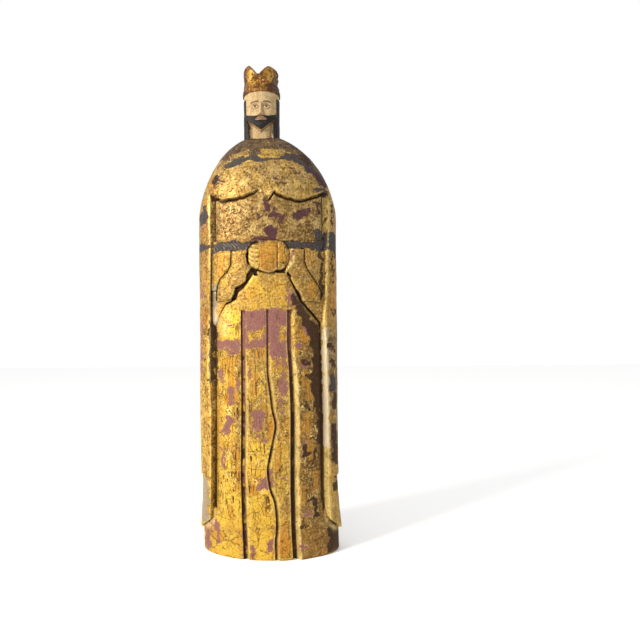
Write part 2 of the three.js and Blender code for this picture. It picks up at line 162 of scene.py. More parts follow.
def carve(name, grid, place, finish, sharpAngle=38):
    # A flat grid is wrapped round the block: its sides meet behind and its two ends close
    columns, rows = grid
    shape = bmesh.new()
    bmesh.ops.create_grid(shape, x_segments=columns, y_segments=rows, size=0.5)
    mesh = bpy.data.meshes.new(name)
    shape.to_mesh(mesh)
    flat = np.empty(3 * len(mesh.vertices))
    mesh.vertices.foreach_get("co", flat)
    column = np.rint((flat[0::3] + 0.5) * columns).astype(int)
    row = np.rint((flat[1::3] + 0.5) * rows).astype(int)
    acrossGrid, upGrid = np.meshgrid(np.arange(columns + 1.0), np.arange(rows + 1.0))
    points, marks = place(acrossGrid, upGrid)
    mesh.vertices.foreach_set("co", (np.stack(points, -1) * metre)[row, column].ravel())
    for key, values in marks.items():
        layer = mesh.attributes.new(key, "FLOAT", "POINT")
        layer.data.foreach_set("value", values[row, column].astype(np.float32))
    shape.clear()
    shape.from_mesh(mesh)
    bmesh.ops.remove_doubles(shape, verts=shape.verts, dist=1e-6)
    bmesh.ops.recalc_face_normals(shape, faces=shape.faces)
    shape.to_mesh(mesh)
    shape.free()
    mesh.shade_smooth()
    mesh.set_sharp_from_angle(angle=math.radians(sharpAngle))
    mesh.materials.append(finish)
    piece = bpy.data.objects.new(name, mesh)
    bpy.context.scene.collection.objects.link(piece)
    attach(piece, "root")
    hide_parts("king_statue")
    faces = sum(len(face.vertices) - 2 for face in mesh.polygons)
    print(name, "carved,", faces, "triangles")
    return piece


# Helpers for finishes

class Wire:
    # A node's output that can be used in sums
    def __init__(self, finish, link):
        self.finish = finish
        self.link = link

    def sum(self, operation, a, b=0.0):
        return self.finish.node("ShaderNodeMath", {"operation": operation}, {0: a, 1: b})

    def __add__(self, other):
        return self.sum("ADD", self, other)

    def __sub__(self, other):
        return self.sum("SUBTRACT", self, other)

    def __rsub__(self, other):
        return self.sum("SUBTRACT", other, self)

    def __mul__(self, other):
        return self.sum("MULTIPLY", self, other)

    def __neg__(self):
        return self.sum("MULTIPLY", self, -1.0)

    def __abs__(self):
        return self.sum("ABSOLUTE", self)

    __radd__ = __add__
    __rmul__ = __mul__

    def rise(self, low, high):
        settings = {"interpolation_type": "SMOOTHSTEP"}
        return self.finish.node("ShaderNodeMapRange", settings, {0: self, 1: low, 2: high})


class Finish:
    def __init__(self, name, colours):
        self.material = bpy.data.materials.new(name)
        self.material.use_nodes = True
        self.tree = self.material.node_tree
        self.shader = self.tree.nodes["Principled BSDF"]
        self.colours = colours
        self.place = self.node("ShaderNodeTexCoord", {}, {}, "Object")

    def connect(self, socket, value):
        if isinstance(value, Wire):
            self.tree.links.new(value.link, socket)
        else:
            socket.default_value = value

    def node(self, kind, settings, sockets, output=0):
        made = self.tree.nodes.new(kind)
        for name, value in settings.items():
            setattr(made, name, value)
        for key, value in sockets.items():
            self.connect(made.inputs[key], value)
        return Wire(self, made.outputs[output])

    def mark(self, name):
        return self.node("ShaderNodeAttribute", {"attribute_name": name}, {}, "Fac")

    def stretched(self, *scale):
        return self.node("ShaderNodeMapping", {}, {"Vector": self.place, "Scale": scale})

    def grain(self, size, detail=3.0, rough=0.6, place=None, twist=0.0):
        # Soft noise from 0 to 1; the size is that of its spots in millimetres
        sockets = {"Vector": place or self.place, "Scale": 1.0 / metre / size}
        sockets.update({"Detail": detail, "Roughness": rough, "Distortion": twist})
        return self.node("ShaderNodeTexNoise", {}, sockets, "Fac")

    def cells(self, size, feature, place, output="Distance"):
        sockets = {"Vector": place, "Scale": 1.0 / metre / size}
        return self.node("ShaderNodeTexVoronoi", {"feature": feature}, sockets, output)

    def paint(self, colour):
        return colour if isinstance(colour, Wire) else (*self.colours[colour], 1.0)

    def blend(self, under, *layers):
        # Colours laid one over another, each by its own share
        for share, over in layers:
            sockets = {0: share, 6: self.paint(under), 7: self.paint(over)}
            under = self.node("ShaderNodeMix", {"data_type": "RGBA"}, sockets, 2)
        return under

    def warped(self, amount, size):
        # Places pushed about, so that lines drawn there wander
        sockets = {"Vector": self.place, "Scale": 1.0 / metre / size}
        push = self.node("ShaderNodeTexNoise", {}, sockets, "Color")
        centred = self.node("ShaderNodeVectorMath", {"operation": "SUBTRACT"}, {0: push, 1: (0.5, 0.5, 0.5)})
        sockets = {0: centred, "Scale": amount * metre}
        scaled = self.node("ShaderNodeVectorMath", {"operation": "SCALE"}, sockets)
        return self.node("ShaderNodeVectorMath", {"operation": "ADD"}, {0: self.place, 1: scaled})

    def shine(self, **sockets):
        for name, value in sockets.items():
            self.connect(self.shader.inputs[name.replace("_", " ")], value)

    def relief(self, height, depth):
        # The height is in parts of the depth, which is in millimetres
        sockets = {"Height": height, "Distance": depth * metre, "Strength": 1.0}
        self.shine(Normal=self.node("ShaderNodeBump", {}, sockets))


# Trunk

trunk = {
    "axisY": 4.0,
    "midX": -1.2,
    "halfWidth": 71.8,
    "footHalfWidth": 71.0,
    "front": 44.0,
    "back": 36.0,
    "shoulderZ": 335.0,
    "shoulderRise": 93.3,
    "wideRound": 1.85,
    "deepRound": 1.8,
    "shoulderLean": -4.6,
    "leanPower": 2.2,
    "footLean": 1.6,
    "footLeanZ": 150.0,
    "chamferZ": 1.5,
    "chamferInset": 1.2,
}


def ovalAt(z):
    rise = np.clip((z - trunk["shoulderZ"]) / trunk["shoulderRise"], 0.0, 1.0)
    wide = (1.0 - rise ** trunk["wideRound"]) ** (1.0 / trunk["wideRound"])
    deep = (1.0 - rise ** trunk["deepRound"]) ** (1.0 / trunk["deepRound"])
    low = np.clip(1.0 - z / trunk["footLeanZ"], 0.0, 1.0)
    full = mix(trunk["footHalfWidth"], trunk["halfWidth"], np.clip(z / trunk["shoulderZ"], 0.0, 1.0))
    midX = trunk["midX"] + trunk["shoulderLean"] * rise ** trunk["leanPower"] + trunk["footLean"] * low ** 2
    return midX, full * wide, trunk["front"] * deep, trunk["back"] * deep


def onTrunk(angle, z, inset, spread=0.0):
    # A place on the block, which the angle gives from the front towards +X
    midX, half, front, back = ovalAt(z)
    depth = np.where(np.cos(angle) > 0.0, front, back)
    x = midX + (np.maximum(half - inset, 0.0) + spread) * np.sin(angle)
    y = trunk["axisY"] - np.maximum(depth - inset, 0.0) * np.cos(angle)
    return x, y


def angleAt(x, z, inset):
    midX, half, _, _ = ovalAt(z)
    return np.arcsin(np.clip((x - midX) / np.maximum(half - inset, 1.0), -1.0, 1.0))


def aroundBlock(column, sideCount, frontAngle):
    # The columns beside the front's own go on round to the middle of the back
    lastFront = frontAngle.shape[1] - 1 - sideCount
    leftSide = mix(-math.pi, frontAngle[:, sideCount][:, None], np.clip(column / sideCount, 0.0, 1.0))
    rightShare = np.clip((column - lastFront) / sideCount, 0.0, 1.0)
    rightSide = mix(frontAngle[:, lastFront][:, None], math.pi, rightShare)
    sides = np.where(column < sideCount, leftSide, rightSide)
    return np.where((column >= sideCount) & (column <= lastFront), frontAngle, sides)


# Cloak: the whole back, the shoulders, the cape over the chest, and a border down each side in front

cloak = {
    "leftLip": [
        (70, -58.8), (133, -58.7), (181, -60.4), (231, -59.1), (253, -58.4), (311, -58.7), (364, -58.9),
    ],
    "rightLip": [(70, 60.4), (132, 59.9), (180, 58.9), (230, 57.9), (272, 60.0), (318, 62.2), (364, 62.9)],
    "leftFloor": [
        (70, -54.2), (133, -53.1), (181, -52.9), (223, -52.8), (253, -56.6), (310, -51.8), (364, -51.6),
    ],
    "rightFloor": [(70, 53.5), (133, 53.9), (180, 53.0), (230, 51.8), (271, 54.3), (317, 54.1), (364, 54.7)],
    "edgeFlow": 14.0,
    "edgeTopZ": 364.0,
    "floorInset": 7.0,
    "hiddenInset": 9.5,
    "lipRound": 0.7,
    "hem": [
        (-62, 361), (-56.7, 360.1), (-43.8, 353.9), (-32.7, 353.6), (-23, 355.2), (-13.4, 359.4),
        (-7.8, 361.5), (2.6, 351.1), (7.7, 359.9), (12.9, 356), (19.4, 353.2), (27.8, 351.5),
        (38.2, 352.2), (46, 356.1), (55.9, 362), (64, 363),
    ],
    "hemFlow": 2.4,
    "hemKnife": (61, 9.0, 0.8),  # seed, size, depth
    "hemRound": 0.6,
    "hemRoll": 3.0,
    "mergedX": -3.5,
    "mergedReach": 12.5,
    "mergedInset": 3.6,
    "borderEndZ": 75.5,
    "flapInset": 1.4,
    "flapSpread": 3.4,
    "flapFlare": 55.0,
    "flapMidX": 0.5,
    "flapHem": [(0, 40), (50, 40), (53.5, 39), (69, 23), (74, 20)],
    "hemBackZ": 20.0,
    "underFlapInset": 5.5,
    "backFolds": [-43.2, -17.2, 10.8, 37.8],
    "backFoldDepth": 3.0,
    "backFoldHalf": 5.5,
    "backFoldPower": 1.4,
    "backFoldSway": 1.2,
    "backFoldWave": 47.0,
    "backFoldTopZ": 285.0,
    "knife": (5, 26.0, 0.28),
    "gouges": 34.0,
    "gougeDepth": 0.12,
    "gougeWander": 0.7,
    "gougeWave": 31.0,
    "gougeStart": (90.0, 140.0),
    "sideCount": 63,
    "frontCounts": [14, 6, 2, 88, 2, 6, 14],
    "rowCounts": [2, 2, 5, 3, 44, 3, 152, 5, 150],
    "guessX": [-66.0, -58.8, -52.5, -50.0, 50.0, 54.0, 60.5, 66.0],
    "outerX": 66.0,
    "footStep": 2.6,
    "backScallopZ": 362.0,
}
leftLip, rightLip, leftFloor, rightFloor = [
    flowing(cloak[key], cloak["edgeFlow"]) for key in ("leftLip", "rightLip", "leftFloor", "rightFloor")
]
hemZ = flowing(cloak["hem"], cloak["hemFlow"])
cloakGrid = (2 * cloak["sideCount"] + sum(cloak["frontCounts"]), sum(cloak["rowCounts"]))


def aboveHem(x, z):
    return z - hemZ(x) - handWork(x, 0.0, 0.0, *cloak["hemKnife"])


def merging(x):
    # Where the two halves of the cape run into the chest
    return bump(x - cloak["mergedX"], cloak["mergedReach"])


def flapHemZ(x, isFront):
    slanted = np.interp(np.abs(x - cloak["flapMidX"]), *zip(*cloak["flapHem"]))
    return np.where(isFront, slanted, cloak["hemBackZ"])


def cloakInset(x, z, angle):
    # Also gives the lip's round, the place across the opening's wall, and the share below the flap
    isFront = np.cos(angle) > 0.0
    fromLeft = (x - leftLip(z)) / (leftFloor(z) - leftLip(z))
    fromRight = (rightLip(z) - x) / (rightLip(z) - rightFloor(z))
    wall = np.where(isFront, np.minimum(fromLeft, fromRight), never)
    opening = cloak["floorInset"] * np.clip(wall, 0.0, 1.0)
    opening = opening + (cloak["hiddenInset"] - cloak["floorInset"]) * ramp(wall, 1.0, 1.4)
    above = aboveHem(x, z)
    inset = opening * fall(above, -1.3, 0.1)
    rolled = cloak["hemRound"] * fall(above, 0.0, cloak["hemRoll"]) * ramp(above, -1.0, 0.1) * (wall > 0.0)
    lip = cloak["lipRound"] * ramp(wall, -0.3, 0.0) * (wall <= 0.0) * fall(above, -2.0, 1.0)
    merged = cloak["mergedInset"] * merging(x) * fall(z, 350.0, 375.0) * (wall > 0.0) * ramp(above, -0.6, 0.1)
    inset = inset + rolled + lip + merged
    flap = fall(z, cloak["borderEndZ"] - 0.6, cloak["borderEndZ"] + 0.3)
    inset = inset + cloak["flapInset"] * flap * (opening < 0.2)
    reach = np.clip(1.0 - z / cloak["backFoldTopZ"], 0.0, 1.0)
    for foldX in cloak["backFolds"]:
        away = x - foldX - cloak["backFoldSway"] * np.sin(z / cloak["backFoldWave"] + foldX)
        sunk = np.clip(1.0 - np.abs(away) / cloak["backFoldHalf"], 0.0, 1.0) ** cloak["backFoldPower"]
        inset = inset + np.where(isFront, 0.0, cloak["backFoldDepth"] * reach * sunk)
    under = fall(z - flapHemZ(x, isFront), -0.7, 0.3)
    return mix(inset, np.maximum(inset, cloak["underFlapInset"]), under), lip, wall, under


def placeCloak(column, row):
    sideCount, frontCounts, rowCounts = cloak["sideCount"], cloak["frontCounts"], cloak["rowCounts"]
    frontCount = sum(frontCounts)
    share = np.clip(column - sideCount, 0, frontCount)
    guess = stepped(share, frontCounts, cloak["guessX"])
    isFront = (column >= sideCount) & (column <= sideCount + frontCount)
    flapZ = flapHemZ(np.where(isFront, guess, 0.0), isFront)
    scallopZ = np.where(isFront, hemZ(guess), cloak["backScallopZ"])
    levels = [
        0.0, 0.0, trunk["chamferZ"], flapZ - 0.8, flapZ + 0.4,
        cloak["borderEndZ"] - 0.7, cloak["borderEndZ"] + 0.7, scallopZ - 1.5, scallopZ + 0.3,
    ]
    z = stepped(row, rowCounts[:-1], levels)
    # The rows over the shoulders lie evenly round their curve
    power = trunk["wideRound"] / 2
    start = np.arcsin(np.clip((levels[-1] - trunk["shoulderZ"]) / trunk["shoulderRise"], 0.0, 1.0) ** power)
    top = sum(rowCounts[:-1])
    over = np.clip((row - top) / rowCounts[-1], 0.0, 1.0)
    dome = trunk["shoulderZ"] + trunk["shoulderRise"] * np.sin(mix(start, math.pi / 2, over)) ** (1.0 / power)
    z = np.where(row > top, dome, z)
    lineZ = np.minimum(z, cloak["edgeTopZ"])
    edges = [
        -cloak["outerX"], leftLip(lineZ), leftFloor(lineZ), leftFloor(lineZ) + cloak["footStep"],
        rightFloor(lineZ) - cloak["footStep"], rightFloor(lineZ), rightLip(lineZ), cloak["outerX"],
    ]
    atChest = stepped(share, frontCounts, edges)
    midX, half, _, _ = ovalAt(z)
    chestMid, chestHalf, _, _ = ovalAt(lineZ)
    target = np.where(z > trunk["shoulderZ"], midX + (atChest - chestMid) * half / chestHalf, atChest)
    frontAngle = angleAt(target, z, 0.0)
    for _ in range(3):
        frontAngle = angleAt(target, z, cloakInset(target, z, frontAngle)[0])
    angle = aroundBlock(column, sideCount, frontAngle)
    x, y = onTrunk(angle, z, 0.0)
    x = np.where(isFront, target, x)
    inset, lip, wall, under = cloakInset(x, z, angle)
    bare = fall(inset, 2.5, 4.0)
    inset = inset + bare * handWork(x, y, z, *cloak["knife"])
    gouges = np.sin(angle * cloak["gouges"] + cloak["gougeWander"] * np.sin(z / cloak["gougeWave"]))
    gouges = gouges * ramp(z, *cloak["gougeStart"]) * (np.cos(angle) < 0.3)
    inset = inset + bare * cloak["gougeDepth"] * gouges
    flare = np.clip(1.0 - (z - cloak["hemBackZ"]) / cloak["flapFlare"], 0.0, 1.0) ** 2
    spread = cloak["flapSpread"] * flare * (z < cloak["borderEndZ"]) * (1.0 - under)
    x, y = onTrunk(angle, z, inset, spread)
    closed = np.clip(row / rowCounts[0], 0.0, 1.0)
    x, y = mix(midX, x, closed), mix(trunk["axisY"], y, closed)
    return (x, y, z), cloakMarks(x, z, angle, inset, lip, wall)


# Paint, bare ground and painted shade on the cloak: middle x, z, half width, half height, perhaps a turn in
# degrees
cloakPaint = {
    "warm": [
        (-27, 400.8, 11, 3, 12), (6, 402.2, 13, 3.6), (-58, 376, 6, 14, 30), (-66, 285, 3, 18),
        (-64, 322, 3, 5), (-65, 236, 3, 12), (67, 268, 4, 30),
    ],
    "gold": [(-27, 400.8, 11, 3, 12), (6, 402.2, 13, 3.6)],
    "plum": [
        (11.2, 371.4, 4.5, 1.1, -20), (23.1, 382.8, 6, 0.7, -8), (30, 379.6, 3.6, 0.6, -4),
        (54.5, 374, 2.2, 9, 42), (45, 383, 6, 1.2, -42), (58.5, 362, 2, 5, 30), (17.5, 367, 2.4, 0.7, -30),
        (-51, 371.5, 1.6, 2.2),
    ],
    # Near-black patches: painted shade on the left wall, by the hem's left end, on the right shoulder and
    # down the right side
    "shadeAndGrime": [
        (-56.6, 200, 3, 31), (-53, 357.5, 4, 3.4, 10), (70, 300, 2.5, 6), (68, 240, 3, 5, 20),
        (66.5, 338, 0.9, 12, 4), (65.5, 285, 0.8, 16), (67, 150, 3.5, 8), (66, 188, 2.5, 4, -20),
        (68, 66, 3.5, 7), (62.5, 205.7, 3.6, 3.6), (66, 107.5, 3, 21, 4), (-53, 376, 2.2, 2),
        (40, 395, 8, 3, -50),
    ],
    "bole": [
        (-66.5, 328.5, 3, 1.8), (-68, 262, 2.6, 8), (-68, 226, 1.6, 6), (32, 404, 5, 2.4, -30),
        (-69, 200, 1.5, 30),
    ],
    "slate": [
        (-32, 391, 9, 3.9, 12), (-18, 394.6, 9, 3.5, 6), (-8, 393.8, 5, 1.9, -8), (4, 393.4, 14, 1.7),
        (24.5, 397.4, 9.5, 4.6), (38, 389.5, 9, 4.2, -42), (50.5, 379.5, 8, 3, -42),
        (57, 371, 5, 2.4, -48), (-47, 374.5, 6.5, 1.1, -48), (-64, 346, 2.6, 5, 10),
        (53.6, 360.8, 3.8, 4.4, 30), (-66, 337.5, 6, 7), (-66, 307.5, 9, 3.2), (64, 311.5, 9, 10),
        (64.5, 169.4, 3.4, 9, 8), (-53, 376, 3, 2.6, 30),
    ],
    "ash": [(-66, 50, 4.6, 24), (57.2, 165, 3.6, 60), (6.5, 371.5, 2.4, 1, -10)],
}
# How the cloak is worn, and where shade and light are painted on it: pairs are where a change begins and ends
cloakWear = {
    "ringZ": 399.0,
    "ringWave": 3.0,
    "ringRise": 3.0,
    "ringShare": 0.8,
    "shoulderWorn": 8.0,
    "shoulderFrom": (0.72, 0.86),  # shares of the half width
    "shoulderZ": 384.0,
    "shoulderReach": 30.0,
    "backSpots": (("bole", 71, 3.0), ("shadeAndGrime", 73, 4.2), ("ash", 79, 4.6)),  # mark, seed, how few
    "backSpotSize": (52.0, 5.0),
    "aroundScale": 50.0,
    "borderX": (48.0, 54.0),
    "borderTopZ": (215.0, 250.0),
    "chestZ": (340.0, 365.0),
    "chestX": (45.0, 60.0),
    "seamZ": ((208.0, 216.0), (300.0, 308.0)),
    "blots": (83, 7.5, 2.6),
    "blotsZ": (230.0, 262.0),
    "stripX": (56.0, 57.5),
    "rightStripZ": ((84.0, 96.0), (205.0, 235.0)),
    "leftTopZ": ((288.0, 300.0), (324.0, 336.0)),
}


def cloakMarks(x, z, angle, inset, lip, wall):
    wear = cloakWear
    isFace = np.cos(angle) > 0.0
    midX, half, _, _ = ovalAt(z)
    half = np.maximum(half, 1.0)
    ring = z - wear["ringZ"] - wear["ringWave"] * np.sin(angle * 3.0)
    ring = ring + wear["ringRise"] * (1.0 - np.cos(angle))
    nearSide, farSide = wear["shoulderFrom"]
    shoulder = ramp(x - midX, nearSide * half, farSide * half)
    shoulder = shoulder * bump(z - wear["shoulderZ"], wear["shoulderReach"])
    shoulder = wear["shoulderWorn"] * shoulder * isFace - 4.0
    marks = {"worn": np.maximum(np.clip(ring, never, -never) * wear["ringShare"], shoulder)}
    marks["warm"] = patchesAt(cloakPaint["warm"], x, z)
    for key in ("bole", "slate", "ash", "shadeAndGrime", "plum"):
        marks[key] = patchesAt(cloakPaint[key], x, z) + never * ramp(-np.cos(angle), -0.30, 0.10)
    for key, seed, less in wear["backSpots"]:
        spots = handWork(angle * wear["aroundScale"], 0.0, z * 0.6, seed, *wear["backSpotSize"])
        marks[key] = np.maximum(marks[key], spots - less + never * ramp(np.cos(angle), -0.25, 0.10))
    goldPatch = patchesAt(cloakPaint["gold"], x, z)
    for key in marks:
        marks[key] = np.where(isFace, np.minimum(marks[key], -goldPatch), marks[key])
    onWall = within(wall, (0.0, 0.15), (0.85, 1.0)) * (z < 360.0) * isFace
    onRight, onLeft = onWall * (x > 0.0), onWall * (x < 0.0)
    seam = within(wall, (0.2, 0.4), (0.9, 1.1)) * within(z, *wear["seamZ"]) * (x < 0.0) * isFace
    blots = handWork(x, 0.0, z, *wear["blots"]) - 1.0 + never * (1.0 - onRight * ramp(z, *wear["blotsZ"]))
    marks["shadeAndGrime"] = np.maximum(np.maximum(marks["shadeAndGrime"], mix(never, 1.6, seam)), blots)
    border = ramp(-x, *wear["borderX"]) * fall(z, *wear["borderTopZ"]) * isFace
    chest = ramp(z, *wear["chestZ"]) * fall(np.abs(x), *wear["chestX"]) * isFace
    rightStrip = ramp(x, *wear["stripX"]) * within(z, *wear["rightStripZ"]) * isFace
    leftTop = ramp(-x, *wear["stripX"]) * within(z, *wear["leftTopZ"]) * isFace
    # Browner to the right, on the left wall and on the right border's strip: painted shade. Browner too round
    # the back and on the upper left border
    brown = 0.35 * ramp(x, 20.0, 60.0) + 0.3 * ramp(np.abs(angle), 1.7, 2.4)
    brown = brown + onLeft * mix(0.45, 0.9, ramp(z, 195.0, 215.0))
    marks["brown"] = brown + 0.45 * rightStrip + 0.3 * leftTop
    # Painted highlights along the border's lips and on the right wall, which faces the lamp
    marks["light"] = 0.5 * lip / cloak["lipRound"] + 0.7 * onRight * (1.0 - 0.6 * ramp(z, 225.0, 260.0))
    marks["flecks"] = mix(0.35, 1.0, chest) + 0.9 * border
    # Painted light: brighter low down and on the lower left border
    marks["paintedLight"] = mix(0.25, 0.80, fall(z, 120.0, 330.0)) + 0.5 * border
    marks["crinkle"] = np.full(z.shape, 0.5)
    # Painted shade: the hollow and depth marks darken the finish in hollows and deep places
    marks["hollow"] = hollows(inset, 3, 1.5)
    marks["depth"] = np.clip(inset / cloak["floorInset"], 0.0, 1.0)
    return marks


# Robe: chest, sleeves, hands round a box, band, and a skirt in folds, down to the foot

robe = {
    "floor": 7.0,
    "chest": [
        (-51.5, 309.6), (-40, 309.2), (-21, 307.4), (11, 307.8), (30, 309.2), (54.5, 311.5), (54.5, 368),
        (-51.5, 368),
    ],
    "band": [
        (-55, 299.4), (-21, 299.2), (-16, 299), (20, 299), (33, 301.2), (54, 300.8), (56, 313), (-55, 312),
    ],
    "leftArm": [
        (-56, 300.5), (-33, 300), (-35, 286), (-39, 279.5), (-46, 273), (-50, 265), (-51.5, 258),
        (-56, 262),
    ],
    "rightArm": [(56, 301.5), (35, 301), (35, 289), (38, 282), (44, 274), (50, 265.5), (53, 256), (56, 255)],
    "leftHang": [
        (-56, 262), (-35, 262), (-35.4, 251.4), (-41.2, 249.8), (-47.2, 241), (-52.2, 228), (-56, 228),
    ],
    "rightHang": [(33.6, 259), (33.6, 251), (38.6, 246), (51.2, 231.4), (56, 226), (56, 259)],
    "leftSleeve": [
        (-34.6, 300.5), (-19.6, 300.5), (-21, 295), (-19.2, 288.4), (-15.6, 283.4), (-20.2, 277.6),
        (-21.1, 271.1), (-25.4, 267.5), (-31.7, 264.5), (-33.2, 258.3), (-36.2, 252.8), (-44.2, 251.8),
        (-50.6, 251.5), (-50.6, 258.3), (-49.4, 266.8), (-46.3, 273.3), (-39.2, 279.5), (-35.1, 286.8),
    ],
    "rightSleeve": [
        (19.5, 301.5), (19.5, 296), (19.5, 289), (19.2, 283), (18.8, 277.5), (23.4, 272.5), (28.8, 262.2),
        (31.6, 259.5), (35.2, 250.5), (44.7, 251), (52.4, 249.5), (52.6, 259.1), (49.9, 265.6),
        (44.2, 273.9), (38.6, 282.2), (35.9, 289.7), (36.4, 301.5),
    ],
    "skirt": [
        (-52.4, -6), (-52.2, 48), (-51.6, 226), (-46.8, 238.6), (-41.4, 247.2), (-36, 249.4),
        (-30.6, 252.4), (-28.2, 259.2), (-23, 263.4), (-17, 271.2), (-11.5, 279.6), (18.6, 277.4),
        (23.2, 269.4), (27.8, 259), (32.2, 250), (37.8, 243.4), (50.1, 228.5), (52.6, 222), (52.6, -6),
    ],
    "box": [(-7.6, 281.4), (-3, 279.4), (2, 278.4), (7, 279.2), (10.6, 282), (10.6, 309.4), (-7.6, 309.8)],
    "rightHand": [
        (9.4, 281), (13, 281), (17.5, 283.2), (20.6, 287.5), (22.2, 293), (22, 299), (19.5, 304.5),
        (15, 308.8), (9.4, 309.4),
    ],
    "leftHand": [
        (-6.6, 282.8), (-12.6, 282.2), (-16, 285.5), (-17.7, 290.5), (-17.9, 296), (-16.9, 301),
        (-14, 305.4), (-6.6, 308.4),
    ],
    "cuff": [(22.6, 303.6), (25.4, 300.6), (26.3, 296), (25.8, 290), (22.8, 284.4), (18.6, 279.4)],
    "holes": [(-12.4, 279.8, 2.6, 2.2, -20), (22.5, 275.6, 1.8, 1.2, -40), (-49.2, 357.4, 4, 3.4)],
    "holeDepth": 0.8,
    # Each fold's light is the strength of the painted highlight along its right edge
    "folds": [
        {
            "line": [(0, -22.2), (40, -23.8), (81, -24.7), (135, -23.8), (181, -23.6), (300, -23.5)],
            "left": 2.6, "floor": 1.4, "right": 3.2, "depth": 2.8, "lift": 0.5,
            "light": 0.7, "gridRight": 4.4,
        },
        {
            "line": [
                (0, 7.4), (19, 6.9), (27.6, 8.2), (41, 8.3), (56.6, 6.6), (66.5, 2.3), (76, 0.7),
                (88, -0.4), (101, 2.4), (114.5, 5.2), (126.5, 7.9), (133, 7.6), (142, 5.1), (164, 2.4),
                (181, 0.3), (239, 0.8), (300, 0.8),
            ],
            "left": 1.7, "floor": 0.2, "right": 2.2, "depth": 3.0, "lift": 0.4,
            "light": 0.6, "gridRight": 2.4,
        },
        {
            "line": [
                (0, 25.2), (30, 23.7), (68, 23.2), (106, 23.6), (144, 24), (183, 22.8), (207, 21.2),
                (240, 21.6), (300, 21.6),
            ],
            "left": 2.4, "floor": 1.3, "right": 5.6, "depth": 4.6, "lift": 1.2,
            "light": 1.25, "gridRight": 5.6,
        },
    ],
    "foldFlow": 9.0,
    "foldWall": 0.9,
    "foldRoll": 9.0,
    "foldTopZ": 241.5,
    "foldLineTopZ": 240.0,
    "swell": 0.35,
    "swellWide": 24.0,
    "leftFallX": -52.0,
    "leftSlope": 7.5,
    "leftFallDepth": 2.4,
    "rightFallX": 40.2,
    "rightSlope": 12.0,
    "rightFallDepth": 4.2,
    "footTopZ": (42.0, 47.0),
    "hemGroove": 3.6,
    "hemGrooveUnder": 1.4,
    "hemGrooveReach": 3.4,
    "hiddenTopZ": 366.0,
    "strokePitch": 3.7,
    "strokeDepth": 0.5,
    "creaseDepth": 1.15,
    "boxLineX": 10.7,
    "boxLineZ": (281.0, 308.0),
    "boxLineDepth": 0.5,
    "fingerPitch": 4.3,
    "fingerFootZ": 283.5,
    "fingerDepth": 1.9,
    "handGroove": 1.2,
    "cuffRise": 1.6,
    "cuffReach": 2.2,
    "cuffGroove": 0.7,
    "knife": (11, 19.0, 0.22),
    "sideCount": 19,
    "frontCounts": [6, 14, 30, 3, 13, 31, 3, 9, 28, 3, 15, 18, 22, 5],
    "rowCounts": [3, 3, 200, 205, 3],
    "leftGridX": [-55.0, -52.2, -44.5],
    "rightGridX": [40.0, 52.6, 55.0],
    "footSideZ": 48.0,
    "footSideInset": 1.7,
    "buriedInset": 2.6,
}
# Each carved layer: how deep its top lies, how wide its wall is, and its rim's round and reach
layers = {
    "skirt": (2.6, 1.0, 0.9, 3.5),
    "chest": (2.4, 0.9, 1.5, 5.0),
    "band": (3.9, 0.8, 0.3, 1.5),
    "leftArm": (2.9, 1.2, 0.8, 3.0),
    "rightArm": (2.9, 1.2, 0.8, 3.0),
    "leftHang": (4.0, 1.0, 0.9, 3.0),
    "rightHang": (4.0, 1.0, 0.9, 3.0),
    "leftSleeve": (1.5, 0.8, 1.1, 4.0),
    "rightSleeve": (1.5, 0.8, 1.1, 4.0),
    "rightHand": (0.5, 1.0, 0.9, 3.0),
    "box": (0.3, 0.8, 0.7, 2.2),
    "leftHand": (0.5, 0.9, 0.8, 2.4),
}
robeGrid = (2 * robe["sideCount"] + sum(robe["frontCounts"]), sum(robe["rowCounts"]))
for fold in robe["folds"]:
    fold["at"] = flowing(fold["line"], robe["foldFlow"])


def laid(inset, name, inside, more=0.0):
    # Lays one carved layer over what is there; its rim is rounded
    level, wall, roundBy, roundReach = layers[name]
    rim = roundBy * (1.0 - np.clip(inside / roundReach, 0.0, 1.0)) ** 2
    return mix(inset, level + more + rim, ramp(inside, -wall, 0.1))


def groove(distance, near, far):
    return fall(np.abs(distance), near, far)


def strokeAt(x, z):
    # Distance from the middle of the nearest slanting stroke of the band, in parts of their pitch
    return np.abs(((x + 0.75 * z + 0.7 * np.sin(z * 0.9)) / robe["strokePitch"]) % 1.0 - 0.5)


def skirtRelief(x, z):
    relief = 0.0
    faded = fall(z, robe["foldTopZ"] - 1.0, robe["foldTopZ"] + 1.4) * (1.0 - 0.35 * ramp(z, 100.0, 240.0))
    for fold in robe["folds"]:
        wallFoot = robe["foldWall"] - fold["left"]
        steps = [-fold["left"], wallFoot, fold["floor"], fold["right"], fold["right"] + robe["foldRoll"]]
        heights = [0.0, fold["depth"], 0.9 * fold["depth"], -fold["lift"], 0.0]
        relief = relief + faded * np.interp(x - fold["at"](z), steps, heights)
    swell = np.abs(np.sin((x + 0.5) / robe["swellWide"] * math.pi))
    relief = relief - robe["swell"] * (swell - 0.5) * (z < robe["foldTopZ"])
    leftShare = np.clip(1.0 - (x - robe["leftFallX"]) / robe["leftSlope"], 0.0, 1.0) ** 1.2
    rightShare = np.clip((x - robe["rightFallX"]) / robe["rightSlope"], 0.0, 1.0) ** 1.3
    falls = robe["leftFallDepth"] * leftShare + robe["rightFallDepth"] * rightShare
    return relief + falls * within(z, (30.0, 60.0), (215.0, 240.0))


